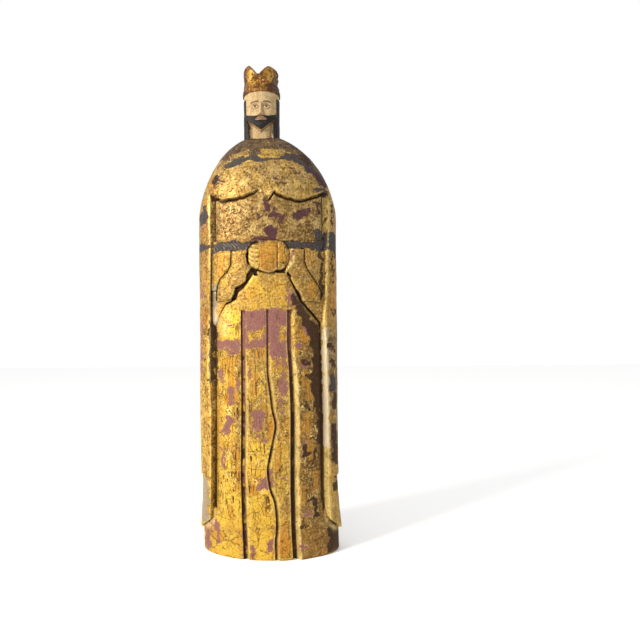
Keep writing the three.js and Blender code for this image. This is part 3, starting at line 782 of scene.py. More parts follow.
def robeInset(x, z):
    inside = {name: insideOf(robe[name], x, z) for name in layers}
    relief = skirtRelief(x, z)
    inset = laid(robe["floor"], "skirt", inside["skirt"], relief)
    inset = mix(inset, np.minimum(inset, layers["skirt"][0] + relief), fall(z, *robe["footTopZ"]))
    inset = laid(inset, "chest", inside["chest"])
    underHem = bump(aboveHem(x, z) + robe["hemGrooveUnder"], robe["hemGrooveReach"])
    inset = inset + robe["hemGroove"] * underHem * (1.0 - merging(x)) * (np.abs(x) < 56.0)
    strokes = robe["strokeDepth"] * (2.0 * strokeAt(x, z)) ** 2
    inset = laid(inset, "band", np.minimum(inside["band"], 0.6 - inside["chest"]), strokes)
    for name in ("leftArm", "rightArm", "leftHang", "rightHang"):
        inset = laid(inset, name, inside[name])
    for name in ("leftSleeve", "rightSleeve"):
        crease = groove(inside[name] + 0.7, 0.2, 1.3) * (z > 252.0) * (np.abs(x) > 34.0)
        inset = laid(inset + robe["creaseDepth"] * crease, name, inside[name])
    knuckles = 0.7 * (1.0 - np.clip(inside["rightHand"] / 5.0, 0.0, 1.0)) ** 2
    inset = laid(inset, "rightHand", inside["rightHand"], knuckles)
    inset = laid(inset, "box", inside["box"])
    boxFoot, boxTop = robe["boxLineZ"]
    boxLine = groove(x - robe["boxLineX"], 0.2, 1.1) * (z > boxFoot) * (z < boxTop)
    inset = inset + robe["boxLineDepth"] * boxLine
    # Five fingers, curled round the box
    along = z + 0.32 * (x + 7.0) - 0.045 * (x + 13.0) ** 2 - robe["fingerFootZ"]
    ridge = np.abs(np.sin(np.clip(along / robe["fingerPitch"], 0.02, 4.98) * math.pi))
    fingers = robe["fingerDepth"] * (1.0 - ridge ** 0.55) * ramp(-x, 7.0, 8.6)
    inset = inset + robe["handGroove"] * groove(inside["leftHand"] + 2.0, 0.2, 0.9) * (x < -10.0)
    inset = laid(inset, "leftHand", inside["leftHand"], fingers)
    inset = inset - robe["cuffRise"] * bump(awayFrom(robe["cuff"], x, z), robe["cuffReach"]) * (inset > 1.6)
    inset = inset + robe["cuffGroove"] * groove(inside["rightHand"] + 0.9, 0.2, 1.2) * (x > 17.0)
    for hole in robe["holes"]:
        share = ramp(patchesAt([hole], x, z), -0.8, 0.6)
        inset = mix(inset, np.maximum(inset, robe["floor"] + robe["holeDepth"]), share)
    return inset


def placeRobe(column, row):
    sideCount, frontCounts, rowCounts = robe["sideCount"], robe["frontCounts"], robe["rowCounts"]
    lastFront = sideCount + sum(frontCounts)
    hiddenTop = robe["hiddenTopZ"]
    z = stepped(row, rowCounts, [0.0, 0.0, trunk["chamferZ"], robe["foldLineTopZ"], hiddenTop, hiddenTop])
    edges = list(robe["leftGridX"])
    for fold in robe["folds"]:
        middle = fold["at"](np.minimum(z, robe["foldLineTopZ"]))
        edges += [middle - fold["left"], middle - fold["left"] + robe["foldWall"], middle + fold["gridRight"]]
    edges += robe["rightGridX"]
    target = stepped(np.clip(column - sideCount, 0, sum(frontCounts)), frontCounts, edges)
    isFront = (column >= sideCount) & (column <= lastFront)
    inset = robeInset(target, z)
    angle = aroundBlock(column, sideCount, angleAt(target, z, inset))
    x, y = onTrunk(angle, z, robe["buriedInset"])
    # Round the sides the robe shows only as the foot, below the cloak
    hidden = ramp(z - flapHemZ(x, np.cos(angle) > 0.0), 0.5, 3.5)
    edgeInset = np.where(column < sideCount, inset[:, sideCount][:, None], inset[:, lastFront][:, None])
    outer = np.where(z < robe["footSideZ"], mix(robe["footSideInset"], robe["floor"], hidden), edgeInset)
    join = np.clip(np.where(column < sideCount, sideCount - column, column - lastFront) / 2.0, 0.0, 1.0)
    inset = np.where(isFront, inset, mix(edgeInset, outer, join))
    inset = inset + handWork(x, y, z, *robe["knife"]) * (inset < 5.5)
    inset = inset + np.interp(z, [0.0, trunk["chamferZ"]], [trunk["chamferInset"], 0.0])
    angle = np.where(isFront, angleAt(target, z, inset), angle)
    x, y = onTrunk(angle, z, inset)
    closed = endShare(row, rowCounts)
    x, y = mix(ovalAt(z)[0], x, closed), mix(trunk["axisY"], y, closed)
    return (x, y, z), robeMarks(x, z, angle, inset)


# Paint, bare ground, painted light and painted shade on the robe: middle x, z, half width, half height,
# perhaps a turn in degrees
robePaint = {
    "warm": [
        (2, 294, 9, 14), (-47, 288, 4, 12), (-37, 172, 7, 22, 8), (39.5, 166, 5.5, 15, 6),
        (38, 131, 5.5, 11, -6), (41, 104, 4.5, 11, 8), (46, 74, 4, 9), (36, 216, 4, 8, 20),
        (-30, 92, 3, 15, 6), (-37, 44, 1.5, 7, 24), (-12, 32, 1.5, 12, 8), (-14, 176, 3, 16, 6),
        (4, 128, 3, 12, -12), (-3, 52, 2.5, 9), (33, 62, 3.5, 12, -5), (-16, 66, 5, 5, 30),
        (15, 296, 4, 9), (-4, 200, 8, 4), (-52, 20, 8, 5), (8, 96, 5, 12), (44, 262, 5, 8),
        (-46, 316, 5, 4), (14, 20, 6, 16),
    ],
    # Patches where the painted light is stronger
    "bright": [
        (-38, 66, 9, 34), (-37, 228, 11, 12), (-44, 150, 4, 40), (-10, 45, 12, 45), (-8, 100, 8, 14),
        (-2, 262, 17, 15), (-12, 292, 5, 10), (16, 296, 5, 12),
    ],
    "gold": [
        (-9.9, 218.6, 9.5, 3.6, 24), (15.4, 219, 3.2, 6.4), (26.3, 243.1, 3.6, 4.2), (0.3, 314.6, 2.6, 2),
    ],
    "plum": [
        (0.8, 344.2, 3, 6.4), (8.6, 336, 3.6, 3.6, -38), (14.6, 331, 3.2, 2.4), (32, 334.5, 4.4, 3, 35),
        (39, 338.5, 4, 1.5, 25), (-4.2, 311.6, 14.2, 2.2, 14), (5.4, 317, 6, 6.4), (50.4, 349, 3.6, 1.2),
        (-14, 337.5, 0.7, 3, 10), (-9, 334.5, 0.5, 2.6, -20), (-6.5, 333, 3, 0.5, 20),
        (52, 343, 1.2, 5, 10),
    ],
    "bole": [
        (-0.8, 223.7, 22.2, 19), (27, 250, 6.5, 11, 12), (-39.3, 207.6, 12.6, 4.8, -4), (-33, 200.5, 5, 4),
        (-12, 208.6, 10.6, 5.2), (10.4, 204.5, 8.6, 10.6), (9.8, 191.4, 3.2, 5.4), (14.9, 169.6, 3.4, 11),
        (35, 189.1, 4.2, 3.2), (-40.2, 128.6, 5, 9, -24), (-9.6, 134, 6, 9.6),
        (-4.4, 115.8, 6.8, 2.2, -40), (-2.3, 73.2, 7.6, 4.6), (1.1, 82.8, 2.2, 6.3),
        (14.8, 79.2, 2.6, 1.5), (37.1, 43.6, 4.8, 3.4), (-47, 178, 2.5, 7, 10), (-30, 168, 1.5, 6, -10),
        (12, 148, 1.4, 7, 10), (24.6, 293, 0.9, 7), (-33, 226, 6, 0.8, 4), (-16, 180, 1.6, 6, -8),
        (17, 190, 3.6, 3.6), (-45, 96, 2, 10, 5), (-8, 96, 1, 7, -25), (30, 206, 3.5, 2, 20),
        (38, 222, 2.6, 6, 30), (-50, 20, 2, 8), (-16, 8, 2.2, 6), (34, 12, 4, 3, 20), (1.6, 15.1, 3, 5.4),
        (-23.7, 17.4, 2.2, 14.3), (-63.3, 17.2, 3.6, 16), (-57.7, 31.3, 7.1, 5, -20), (-36, 157, 3, 9, 8),
        (36, 108, 2, 9),
    ],
    # Near-black patches: painted shade down the skirt's right side, in the holes by the left hand and the
    # hem, and on the left wall
    "shadeAndGrime": [
        (36.5, 236, 25, 5.2, -64), (48, 205, 4.5, 22), (46.5, 212, 5, 5), (48.6, 168, 4.6, 22),
        (43, 172, 3.4, 7, 20), (50.6, 132, 2.6, 22), (36, 190, 5.5, 1.8), (38, 150, 1.2, 6, 10),
        (53.9, 277, 1.7, 24), (37, 104, 3.2, 5, 15), (45, 99, 1.6, 7, -10), (40, 56, 4.5, 2, 20),
        (34, 31, 5, 1, 10), (46, 48, 2, 8), (-55.9, 199.5, 4.4, 31), (66, 19, 8.5, 19),
        (-12.4, 279.8, 2.6, 2.2, -20), (-49.2, 357.4, 4, 3.4),
    ],
    "slate": [(-37, 305.6, 19.6, 4.4), (36.5, 306, 17.6, 3.6, 2), (18, 308.6, 3.5, 1.6), (54, 311, 6, 11)],
    "ash": [(-54.7, 247.9, 4.2, 20.5)],
}
# How the robe is worn, and where shade and light are painted on it: pairs are where a change begins and ends,
# threes are seed, size and amount
robeWear = {
    "lightEnd": (91, 16.0, 0.8),
    "lightUneven": (93, 13.0, 0.35),
    "lightShare": 0.85,
    "lightTopZ": (196.0, 212.0),
    "narrowZ": (165.0, 205.0),
    "rub": (87, 19.0, 2.6),
    "rubZ": (180.0, 205.0),
    "stainAndShade": (89, 17.0, 2.2),
    "grooveShadeZ": (195.0, 215.0),
    "cuffReach": 2.6,
    "fingerX": ((8.6, 9.4), (17.0, 18.5)),
    "fingerZ": ((281.0, 284.0), (302.0, 305.0)),
    "skirtTopX": (36.0, 38.0),
    "skirtTopZ": ((214.0, 218.0), (240.0, 250.0)),
    "bandTopZ": 311.0,
    "rightX": (27.0, 33.0),
    "edgeX": 5.5,
    "edgeReach": 4.0,
    "edgeZ": ((60.0, 90.0), (200.0, 215.0)),
    "crinkleZ": ((10.0, 80.0), (195.0, 215.0)),
}


def robeMarks(x, z, angle, inset):
    wear = robeWear
    isFace = np.cos(angle) > 0.0
    goldPatch = patchesAt(robePaint["gold"], x, z)
    marks = {}
    for key in ("bole", "shadeAndGrime", "slate", "ash"):
        marks[key] = np.minimum(np.where(isFace, patchesAt(robePaint[key], x, z), never), -goldPatch)
    marks["plum"] = np.where(isFace, patchesAt(robePaint["plum"], x, z), never)
    marks["warm"] = patchesAt(robePaint["warm"], x, z)
    marks["worn"] = np.full(z.shape, never)
    low = z < robe["foldTopZ"]
    pastFolds = [x - fold["at"](np.minimum(z, robe["foldLineTopZ"])) for fold in robe["folds"]]
    # Folds have ground showing in them and painted shade on their floors, and a painted highlight along their
    # right edges
    light = 0.0 * z
    for fold, past in zip(robe["folds"], pastFolds):
        start = fold["floor"] + 0.2
        end = fold["right"] * (1.0 - 0.4 * ramp(z, *wear["narrowZ"])) + 1.4
        end = end + handWork(0.0, past * 0.1, z, *wear["lightEnd"])
        shown = ramp(past, start - 0.4, start + 0.6) * fall(past, end - 1.2, end + 0.8) * low
        shown = shown * (1.0 - 0.8 * ramp(z, *wear["lightTopZ"]))
        shown = shown * (wear["lightShare"] + handWork(0.0, 0.0, z, *wear["lightUneven"]))
        light = np.maximum(light, fold["light"] * shown)
        foot = (-fold["left"] - 0.2, -fold["left"] + 0.4)
        sunk = within(past, foot, (start - 0.6, start + 0.2)) * low
        rub = 1.2 + 1.6 * ramp(z, *wear["rubZ"]) + handWork(0.0, 0.0, z, *wear["rub"])
        marks["bole"] = np.maximum(marks["bole"], mix(never, rub, sunk))
        # Painted shade on each fold's floor, less towards the top
        stainAndShade = handWork(0.0, 0.0, z, *wear["stainAndShade"]) - 0.2 - 1.5 * ramp(z, *wear["grooveShadeZ"])
        marks["shadeAndGrime"] = np.maximum(marks["shadeAndGrime"], mix(never, stainAndShade, sunk))
    # Painted highlights on the cuff, on the left hand's fingers and at the top of the skirt's left side
    light = np.maximum(light, 1.3 * bump(awayFrom(robe["cuff"], x, z), wear["cuffReach"]))
    fingers = within(-x, *wear["fingerX"]) * within(z, *wear["fingerZ"])
    skirtTop = ramp(-x, *wear["skirtTopX"]) * within(z, *wear["skirtTopZ"])
    marks["light"] = np.maximum(light, 0.5 * fingers + 0.4 * skirtTop)
    # Painted shade in hollows and along the first fold's left wall, none under the painted highlights
    sunkEdge = 0.7 * bump(pastFolds[0] + robe["folds"][0]["left"] - 0.5, 1.3) * low
    marks["hollow"] = (hollows(inset, 4, 1.6) + sunkEdge) * (1.0 - np.clip(1.5 * marks["light"], 0.0, 1.0))
    marks["stroke"] = ramp(strokeAt(x, z), 0.25, 0.5) * (x < -14.0)
    # Browner down the skirt's right side and in a soft band left of the first fold: painted shade. Browner
    # too on the chest above the band, more so to the right
    brown = 0.62 * ramp(x, *wear["rightX"]) * low
    brown = brown + (0.42 + 0.14 * ramp(x, 8.0, 14.0)) * (z > wear["bandTopZ"])
    shadow = bump(pastFolds[0] + wear["edgeX"], wear["edgeReach"]) * within(z, *wear["edgeZ"])
    marks["brown"] = brown + 0.45 * shadow
    marks["flecks"] = ramp(z, wear["bandTopZ"], wear["bandTopZ"] + 5.0)
    crinkleFoot, crinkleTop = wear["crinkleZ"]
    marks["crinkle"] = ramp(z, *crinkleFoot) * mix(1.0, 0.55, ramp(z, *crinkleTop))
    # Painted light: brighter on the bright patches, at the foot and to the left; darker to the right, above
    # the skirt's top and above the band
    paintedLight = 0.40 + 0.65 * ramp(patchesAt(robePaint["bright"], x, z), -7.0, 4.0) + 0.25 * fall(z, 0.0, 50.0)
    paintedLight = paintedLight - 0.3 * ramp(x, 26.0, 34.0) * (z < 250.0) + 0.2 * ramp(-x, -24.0, 0.0) * low
    paintedLight = paintedLight + 0.25 * ramp(-x, 26.0, 30.0) * low
    marks["paintedLight"] = paintedLight - 0.6 * ramp(z, 308.0, 313.0) - 0.3 * ramp(z, 243.0, 253.0)
    marks["depth"] = np.clip(inset / robe["floor"], 0.0, 1.0)
    return marks


# Head: a column of straight black hair, with the face, beard and neck carved into its front

head = {
    "x": -6.1,
    "y": 4.0,
    "radius": 19.2,
    "footZ": 404.0,
    "collarZ": 424.0,
    "topZ": 470.5,
    "hairTopZ": 463.6,
    "jawZ": (434.0, 444.0),
    "faceHalfAngle": 58.0,
    "neckHalfAngle": 44.0,
    "topHalfAngle": 98.0,
    "footNarrower": 4.0,
    "neckRadius": 15.4,
    "faceInset": 0.9,
    "foreheadInset": 0.55,
    "foreheadZ": (461.5, 464.5),
    "beardTipZ": 428.5,
    "beardSideZ": 442.0,
    "beardSideAngle": 56.0,
    "beardRise": 0.45,
    "strandDepth": 0.12,
    "locks": 19.0,
    "lockDepth": 0.42,
    "lockStrands": 120.0,
    "lockStrandDepth": 0.08,
    "footFlare": 1.6,
    "knife": (3, 17.0, 0.12),
    "columnCounts": [52, 210, 52],
    "turns": [-180.0, -66.0, 66.0, 180.0],
    "rowCounts": [3, 66, 226, 3],
    "moustache": [
        (-0.2, 443), (3.5, 443.2), (8, 443.4), (13.5, 445.2), (16.6, 447.2), (18.8, 447.4), (18.8, 434),
        (11.2, 435.6), (6.4, 438.7), (4.6, 440.7), (2, 441.7), (-0.2, 441.4),
    ],
    "goatee": [(-0.5, 438.2), (3.4, 438.4), (6.4, 439.2), (12, 437.4), (19, 441), (19, 425), (-0.5, 425)],
}
headGrid = (sum(head["columnCounts"]), sum(head["rowCounts"]))
# The face keeps to the usual thirds: eyes half way up the head, the nose and mouth below them
face = {
    "eyeX": 6.4,
    "eyeZ": 453.0,
    "eyeHalfWidth": 3.2,
    "eyeBall": (3.3, 2.3, 1.5),  # half width, half height, how far it stands out
    "lidHeight": 1.55,
    "lidBelow": 0.7,
    "lidStep": 0.28,
    "irisRadius": 1.4,
    "irisUp": 0.25,
    "browZ": 457.0,
    "browArch": 0.035,
    "browRise": 0.7,
    "noseFootZ": 444.0,
    "noseHalf": (1.25, 2.0),
    "noseRise": (1.1, 4.2),
    "nostril": (2.5, 1.5, 1.0, 1.1, 1.0),
    "mouthZ": 440.0,
    "mouthHalf": 4.8,
    "seamDepth": 0.7,
    "upperLip": (0.0, 440.95, 4.2, 0.75, 0.75),
    "lipHalf": (2.7, 1.75),
    "lipWide": 5.2,
    "forms": [  # side, z, half width, half height, how far it stands out
        (9, 447.5, 4.5, 3.5, 0.5),
        (5.8, 453.8, 4.6, 3, -2.1),
        (0, 440, 7, 4.2, 0.9),
        (0, 438.95, 3.4, 0.9, 0.95),
        (0, 442.9, 0.7, 1.1, -0.35),
        (0, 433.6, 7.5, 3.8, 1.2),
        (0, 437, 4, 0.9, -0.5),
    ],
}


def spot(across, up, wide, high):
    return np.exp(-(across / wide) ** 2 - (up / high) ** 2)


def form(side, z, shape):
    middle, middleZ, wide, high, rise = shape
    return rise * spot(side - middle, z - middleZ, wide, high)


def eyeLines(side, z):
    # How far below the upper lid and above the lower one a place lies, and where the eye is open
    eyeAcross, eyeUp = side - face["eyeX"], z - face["eyeZ"]
    lid = face["lidHeight"] * (1.0 - (eyeAcross / face["eyeHalfWidth"]) ** 2)
    opening = np.minimum(lid - eyeUp, eyeUp + face["lidBelow"] * lid)
    isOpen = (np.abs(eyeAcross) < face["eyeHalfWidth"]) & (opening > 0.0)
    return eyeAcross, eyeUp, lid, opening, isOpen


def browLine(side):
    return face["browZ"] + 0.9 - face["browArch"] * (side - 6.0) ** 2


def faceRelief(side, z):
    relief = sum(form(side, z, shape) for shape in face["forms"])
    eyeAcross, eyeUp, _, opening, isOpen = eyeLines(side, z)
    ballHalf, ballHigh, ballRise = face["eyeBall"]
    ball = np.clip(1.0 - (eyeAcross / ballHalf) ** 2 - (eyeUp / ballHigh) ** 2, 0.0, 1.0) ** 0.5
    relief = relief + ballRise * ball - face["lidStep"] * ramp(opening, -0.05, 0.25) * isOpen
    brow = face["browRise"] * bump(z - browLine(side), 2.2)
    relief = relief + brow * within(side, (1.2, 3.0), (10.0, 13.5))
    downNose = np.clip((face["browZ"] - z) / (face["browZ"] - face["noseFootZ"]), 0.0, 1.0)
    aboveFoot = ramp(z, face["noseFootZ"] - 0.5, face["noseFootZ"] + 0.9)
    bridge = mix(*face["noseRise"], downNose ** 1.1) * fall(z, face["browZ"] - 2.5, face["browZ"] + 3.0)
    nose = bridge * np.exp(-(side / mix(*face["noseHalf"], downNose)) ** 2)
    relief = relief + (nose + form(side, z - face["noseFootZ"], face["nostril"])) * aboveFoot
    relief = relief + form(side, z, face["upperLip"]) * (1.0 - 0.3 * spot(side, 0.0, 0.7, 1.0))
    seam = bump(z - face["mouthZ"] - 0.02 * side, 0.55) * (side < face["mouthHalf"])
    return relief - face["seamDepth"] * seam


def placeHead(column, row):
    rowCounts = head["rowCounts"]
    z = stepped(row, rowCounts, [head["footZ"], head["footZ"], head["collarZ"], head["topZ"], head["topZ"]])
    turn = np.radians(stepped(column, head["columnCounts"], head["turns"]))
    angle = np.abs(np.degrees(turn))
    across = head["radius"] * np.sin(turn)
    side = np.abs(across)
    half = mix(head["neckHalfAngle"], head["faceHalfAngle"], ramp(z, *head["jawZ"]))
    half = mix(half, head["topHalfAngle"], ramp(z, head["hairTopZ"] - 0.6, head["hairTopZ"] + 0.8))
    half = half - head["footNarrower"] * fall(z, 410.0, head["collarZ"])
    edge = half - angle
    beardShare = np.clip(angle / head["beardSideAngle"], 0.0, 1.0) ** 0.9
    beardFoot = mix(head["beardTipZ"], head["beardSideZ"], beardShare)
    neck = fall(z, beardFoot - 0.9, beardFoot + 0.2)
    skin = head["radius"] - head["faceInset"] + faceRelief(side, z)
    # Beard and moustache, cut with fine strands
    beardIn = np.maximum(insideOf(head["moustache"], side, z), insideOf(head["goatee"], side, z))
    strands = np.sin(side * 5.2 + 0.6 * np.sin(z * 0.9) + 2.2 * np.sin(z * 0.23)) * ramp(beardIn, 0.2, 1.2)
    skin = skin + head["beardRise"] * ramp(beardIn, -0.2, 0.8) + head["strandDepth"] * strands
    throat = head["neckRadius"] + 0.7 * bump(side - 6.5, 3.5) * fall(z, 412.0, 430.0)
    throat = throat + 0.8 * ramp(z, beardFoot - 3.5, beardFoot - 0.9)
    skin = mix(skin, throat, neck)
    skin = mix(skin, head["radius"] - head["foreheadInset"], ramp(z, *head["foreheadZ"]) * 0.7)
    lock = np.abs(np.sin(turn * head["locks"] + 0.35 * np.sin(z / 7.0) + 0.5 * np.sin(z / 23.0 + turn * 2.0)))
    fineLock = np.sin(turn * head["lockStrands"] + 1.4 * np.sin(z / 9.0))
    hair = head["radius"] - 0.25 - head["lockDepth"] * (1.0 - lock ** 0.7)
    hair = hair + head["lockStrandDepth"] * fineLock
    hair = hair + head["footFlare"] * fall(z, head["footZ"], head["collarZ"])
    reach = mix(hair, skin, ramp(edge, -1.4, 1.4)) + handWork(across * 1.3, z * 0.7, z, *head["knife"])
    reach = reach * endShare(row, rowCounts)
    x = head["x"] + np.sin(turn) * reach
    y = head["y"] - np.cos(turn) * reach
    return (x, y, z), headMarks(side, z, edge, neck, beardIn, beardFoot, reach)


def headMarks(side, z, edge, neck, beardIn, beardFoot, reach):
    isFace = (1.0 - neck) * (edge > 0.0)
    eyeAcross, eyeUp, lid, opening, isOpen = eyeLines(side, z)
    browIn = 0.75 - np.abs(z - browLine(side) - 0.2) - 0.05 * np.maximum(side - 8.0, 0.0)
    browIn = np.where((side > 2.2) & (side < 11.5), browIn, -1.0)
    lidIn = 0.42 - np.abs(eyeUp - lid) - 0.12 * (eyeUp < lid)
    lidIn = np.where((np.abs(eyeAcross) < 3.5) & (eyeUp > -0.3), lidIn, -1.0)
    seamIn = 0.34 - np.abs(z - face["mouthZ"] - 0.02 * side) - 0.03 * side
    seamIn = np.where(side < face["mouthHalf"], seamIn, -1.0)
    lipHalf = np.where(z < face["mouthZ"], *face["lipHalf"])
    lips = lipHalf - np.abs(z - face["mouthZ"]) * (1.0 + 0.055 * side ** 1.6)
    shade = bump(z - beardFoot + 2.0, 1.6) * neck * (side < 15.0)
    shade = shade + 0.8 * neck * ramp(-edge, -15.0, -4.0) * ramp(edge, 1.5, 4.0)
    return {
        "hair": np.clip(-0.33 * edge, -3.0, 3.0),
        "beard": np.where(isFace > 0.5, beardIn, -3.0),
        "brow": np.maximum(np.maximum(browIn, lidIn), seamIn) * isFace + (isFace - 1.0),
        "eye": np.where(isOpen, opening, -1.0) * isFace + (isFace - 1.0),
        "iris": face["irisRadius"] - np.hypot(eyeAcross, eyeUp - face["irisUp"]),
        "lips": np.minimum(face["lipWide"] - side, lips) * isFace + (isFace - 1.0),
        "shade": np.clip(shade, 0.0, 1.0),
        # Painted shade in the head's hollows
        "hollow": hollows(-reach, 5, 0.4),
        "neck": neck,
    }


# Crown: a band, a waist and four flared lobes with a notch between each two

crown = {
    "x": -6.1,
    "y": 4.0,
    "turn": -12.5,  # degrees
    "footZ": 468.5,
    "topZ": 497.6,
    "profile": [
        (468.5, 19.5), (469.6, 19.95), (472.6, 19.75), (475, 19), (481, 18.4), (488, 18.8), (493, 19.2),
        (495.6, 18.4), (497, 16.8),
    ],
    "profileFlow": 1.2,
    "lobeTurns": [-180, -88, 0, 108, 180],
    "evenTurns": [-180, -90, 0, 90, 180],
    "lobeRadius": 19.2,
    "rimRadius": 18.6,
    "rimSoft": 0.35,
    "rimRise": 0.05,
    "rimRoll": 0.35,
    "rimRollReach": 1.4,
    "notchOuterZ": 484.0,
    "notchInnerZ": 490.5,
    "notchSlope": 0.8,
    "hollowDepth": 3.2,
    "hollowZ": 480.0,
    "hollowReach": 8.0,
    "hollowLift": 5.0,
    "farShare": 0.15,
    "slant": 0.0044,
    "knife": (23, 9.0, 0.22),
    "cuts": 14.0,
    "cutDepth": 0.18,
    "cutReach": 9.0,
    "columns": 288,
    "rowCounts": [3, 150, 98],
    "lobes": [(-10.5, 486, 3.4, 6.5, -12), (-8, 478, 3, 2.5), (9.6, 487.5, 3.2, 7), (4, 476, 3, 2)],
    # Near-black patches: painted shade on the crown's sides and in its crevices
    "shadeAndGrime": [
        (11, 474.5, 6, 3.6, 20), (1, 488, 1.6, 4, 20), (-4, 472.5, 5, 1.2, 6), (-3.5, 484, 0.7, 5, -14),
        (13.5, 483, 1, 6), (3, 481, 0.5, 2.2), (5.4, 481, 0.5, 2), (-18, 480, 2.8, 20),
        (18.6, 480, 2.6, 20),
    ],
}
crownRadius = flowing(crown["profile"], crown["profileFlow"])
crownGrid = (crown["columns"], sum(crown["rowCounts"]))


def crownTopZ(turn, radius):
    # Height of the top: the lobes' level, or less within a notch
    even = np.interp(turn, np.radians(crown["lobeTurns"]), np.radians(crown["evenTurns"]))
    local = (even + math.pi / 4) % (math.pi / 2) - math.pi / 4
    outward = radius * np.cos(local) / crown["lobeRadius"]
    floor = mix(crown["notchInnerZ"], crown["notchOuterZ"], outward)
    cut = floor + np.abs(radius * np.sin(local)) / crown["notchSlope"]
    gap = np.clip((crown["topZ"] - cut) / crown["rimSoft"], -30.0, 30.0)
    return crown["topZ"] - crown["rimSoft"] * np.log1p(np.exp(gap)) + crown["rimRise"]


def placeCrown(column, row):
    footRows, wallRows, topRows = crown["rowCounts"]
    turn = column / crown["columns"] * 2.0 * math.pi - math.pi
    turned = turn + math.radians(crown["turn"])
    closed = np.clip(row / footRows, 0.0, 1.0)
    wall = np.clip((row - footRows) / wallRows, 0.0, 1.0)
    over = np.clip((row - footRows - wallRows) / topRows, 0.0, 1.0)
    rimZ = crownTopZ(turn, crown["rimRadius"])
    z = mix(crown["footZ"], rimZ, wall)
    nearNotch = (1.0 + np.cos(4.0 * turn)) / 2.0
    side = mix(1.0, crown["farShare"], ramp(-np.sin(turned), 0.2, 0.9))
    waistZ = crown["hollowZ"] + crown["hollowLift"] * ramp(turn, 0.6, 1.4)
    hollow = side * crown["hollowDepth"] * nearNotch * bump(z - waistZ, crown["hollowReach"])
    rimRadius = crownRadius(z) - hollow
    radius = rimRadius * (1.0 - over)
    roll = crown["rimRoll"] * (1.0 - np.clip(over * rimRadius / crown["rimRollReach"], 0.0, 1.0)) ** 2
    top = np.minimum(crownTopZ(turn, radius), rimZ + 20.0) - roll
    z = np.where(over > 0.0, top, z - 0.5 * ramp(wall, 0.97, 1.0))
    radius = radius * closed
    worn = handWork(radius * np.sin(turn), radius * np.cos(turn), z, *crown["knife"])
    cuts = np.abs(np.sin(turn * crown["cuts"] + 0.8 * np.sin(z / 3.0))) ** 6
    cuts = crown["cutDepth"] * cuts * bump(z - crown["hollowZ"], crown["cutReach"])
    radius = np.maximum(radius - (worn + cuts) * (over <= 0.0) * closed, 0.0)
    x = np.sin(turned) * radius
    y = -np.cos(turned) * radius
    z = z - (z - crown["footZ"]) * crown["slant"] * x
    marks = {
        # Painted shade in the crown's hollows
        "hollow": hollows(-radius, 3, 0.8),
        "lobe": patchesAt(crown["lobes"], x, z),
        "shadeAndGrime": np.maximum(patchesAt(crown["shadeAndGrime"], x, z), -2.0),
    }
    return (x + crown["x"], y + crown["y"], z), marks


# Finishes

gilding = {
    "tan": (0.285, 0.165, 0.044),
    "yellow": (0.53, 0.325, 0.040),
    "bright": (0.64, 0.40, 0.045),
    "pale": (0.74, 0.55, 0.20),
    "buff": (0.36, 0.245, 0.098),
    "orange": (0.43, 0.190, 0.024),
    "brown": (0.125, 0.060, 0.016),
    "umber": (0.046, 0.018, 0.008),
    "bole": (0.165, 0.068, 0.055),
    "boleLight": (0.25, 0.118, 0.095),
    "boleDark": (0.050, 0.014, 0.010),
    "plum": (0.052, 0.019, 0.025),
    "slate": (0.042, 0.039, 0.038),
    "slateRubbed": (0.34, 0.31, 0.24),
    "ash": (0.21, 0.165, 0.11),
    "ashTan": (0.38, 0.31, 0.21),
    "ashHighlight": (0.68, 0.57, 0.40),
    "shadeAndGrime": (0.028, 0.012, 0.006),
    "shadeAndGrimeBrown": (0.12, 0.07, 0.045),
    "wornDark": (0.016, 0.013, 0.011),
    "wornBrown": (0.074, 0.041, 0.035),
    "wornTan": (0.13, 0.07, 0.032),
}


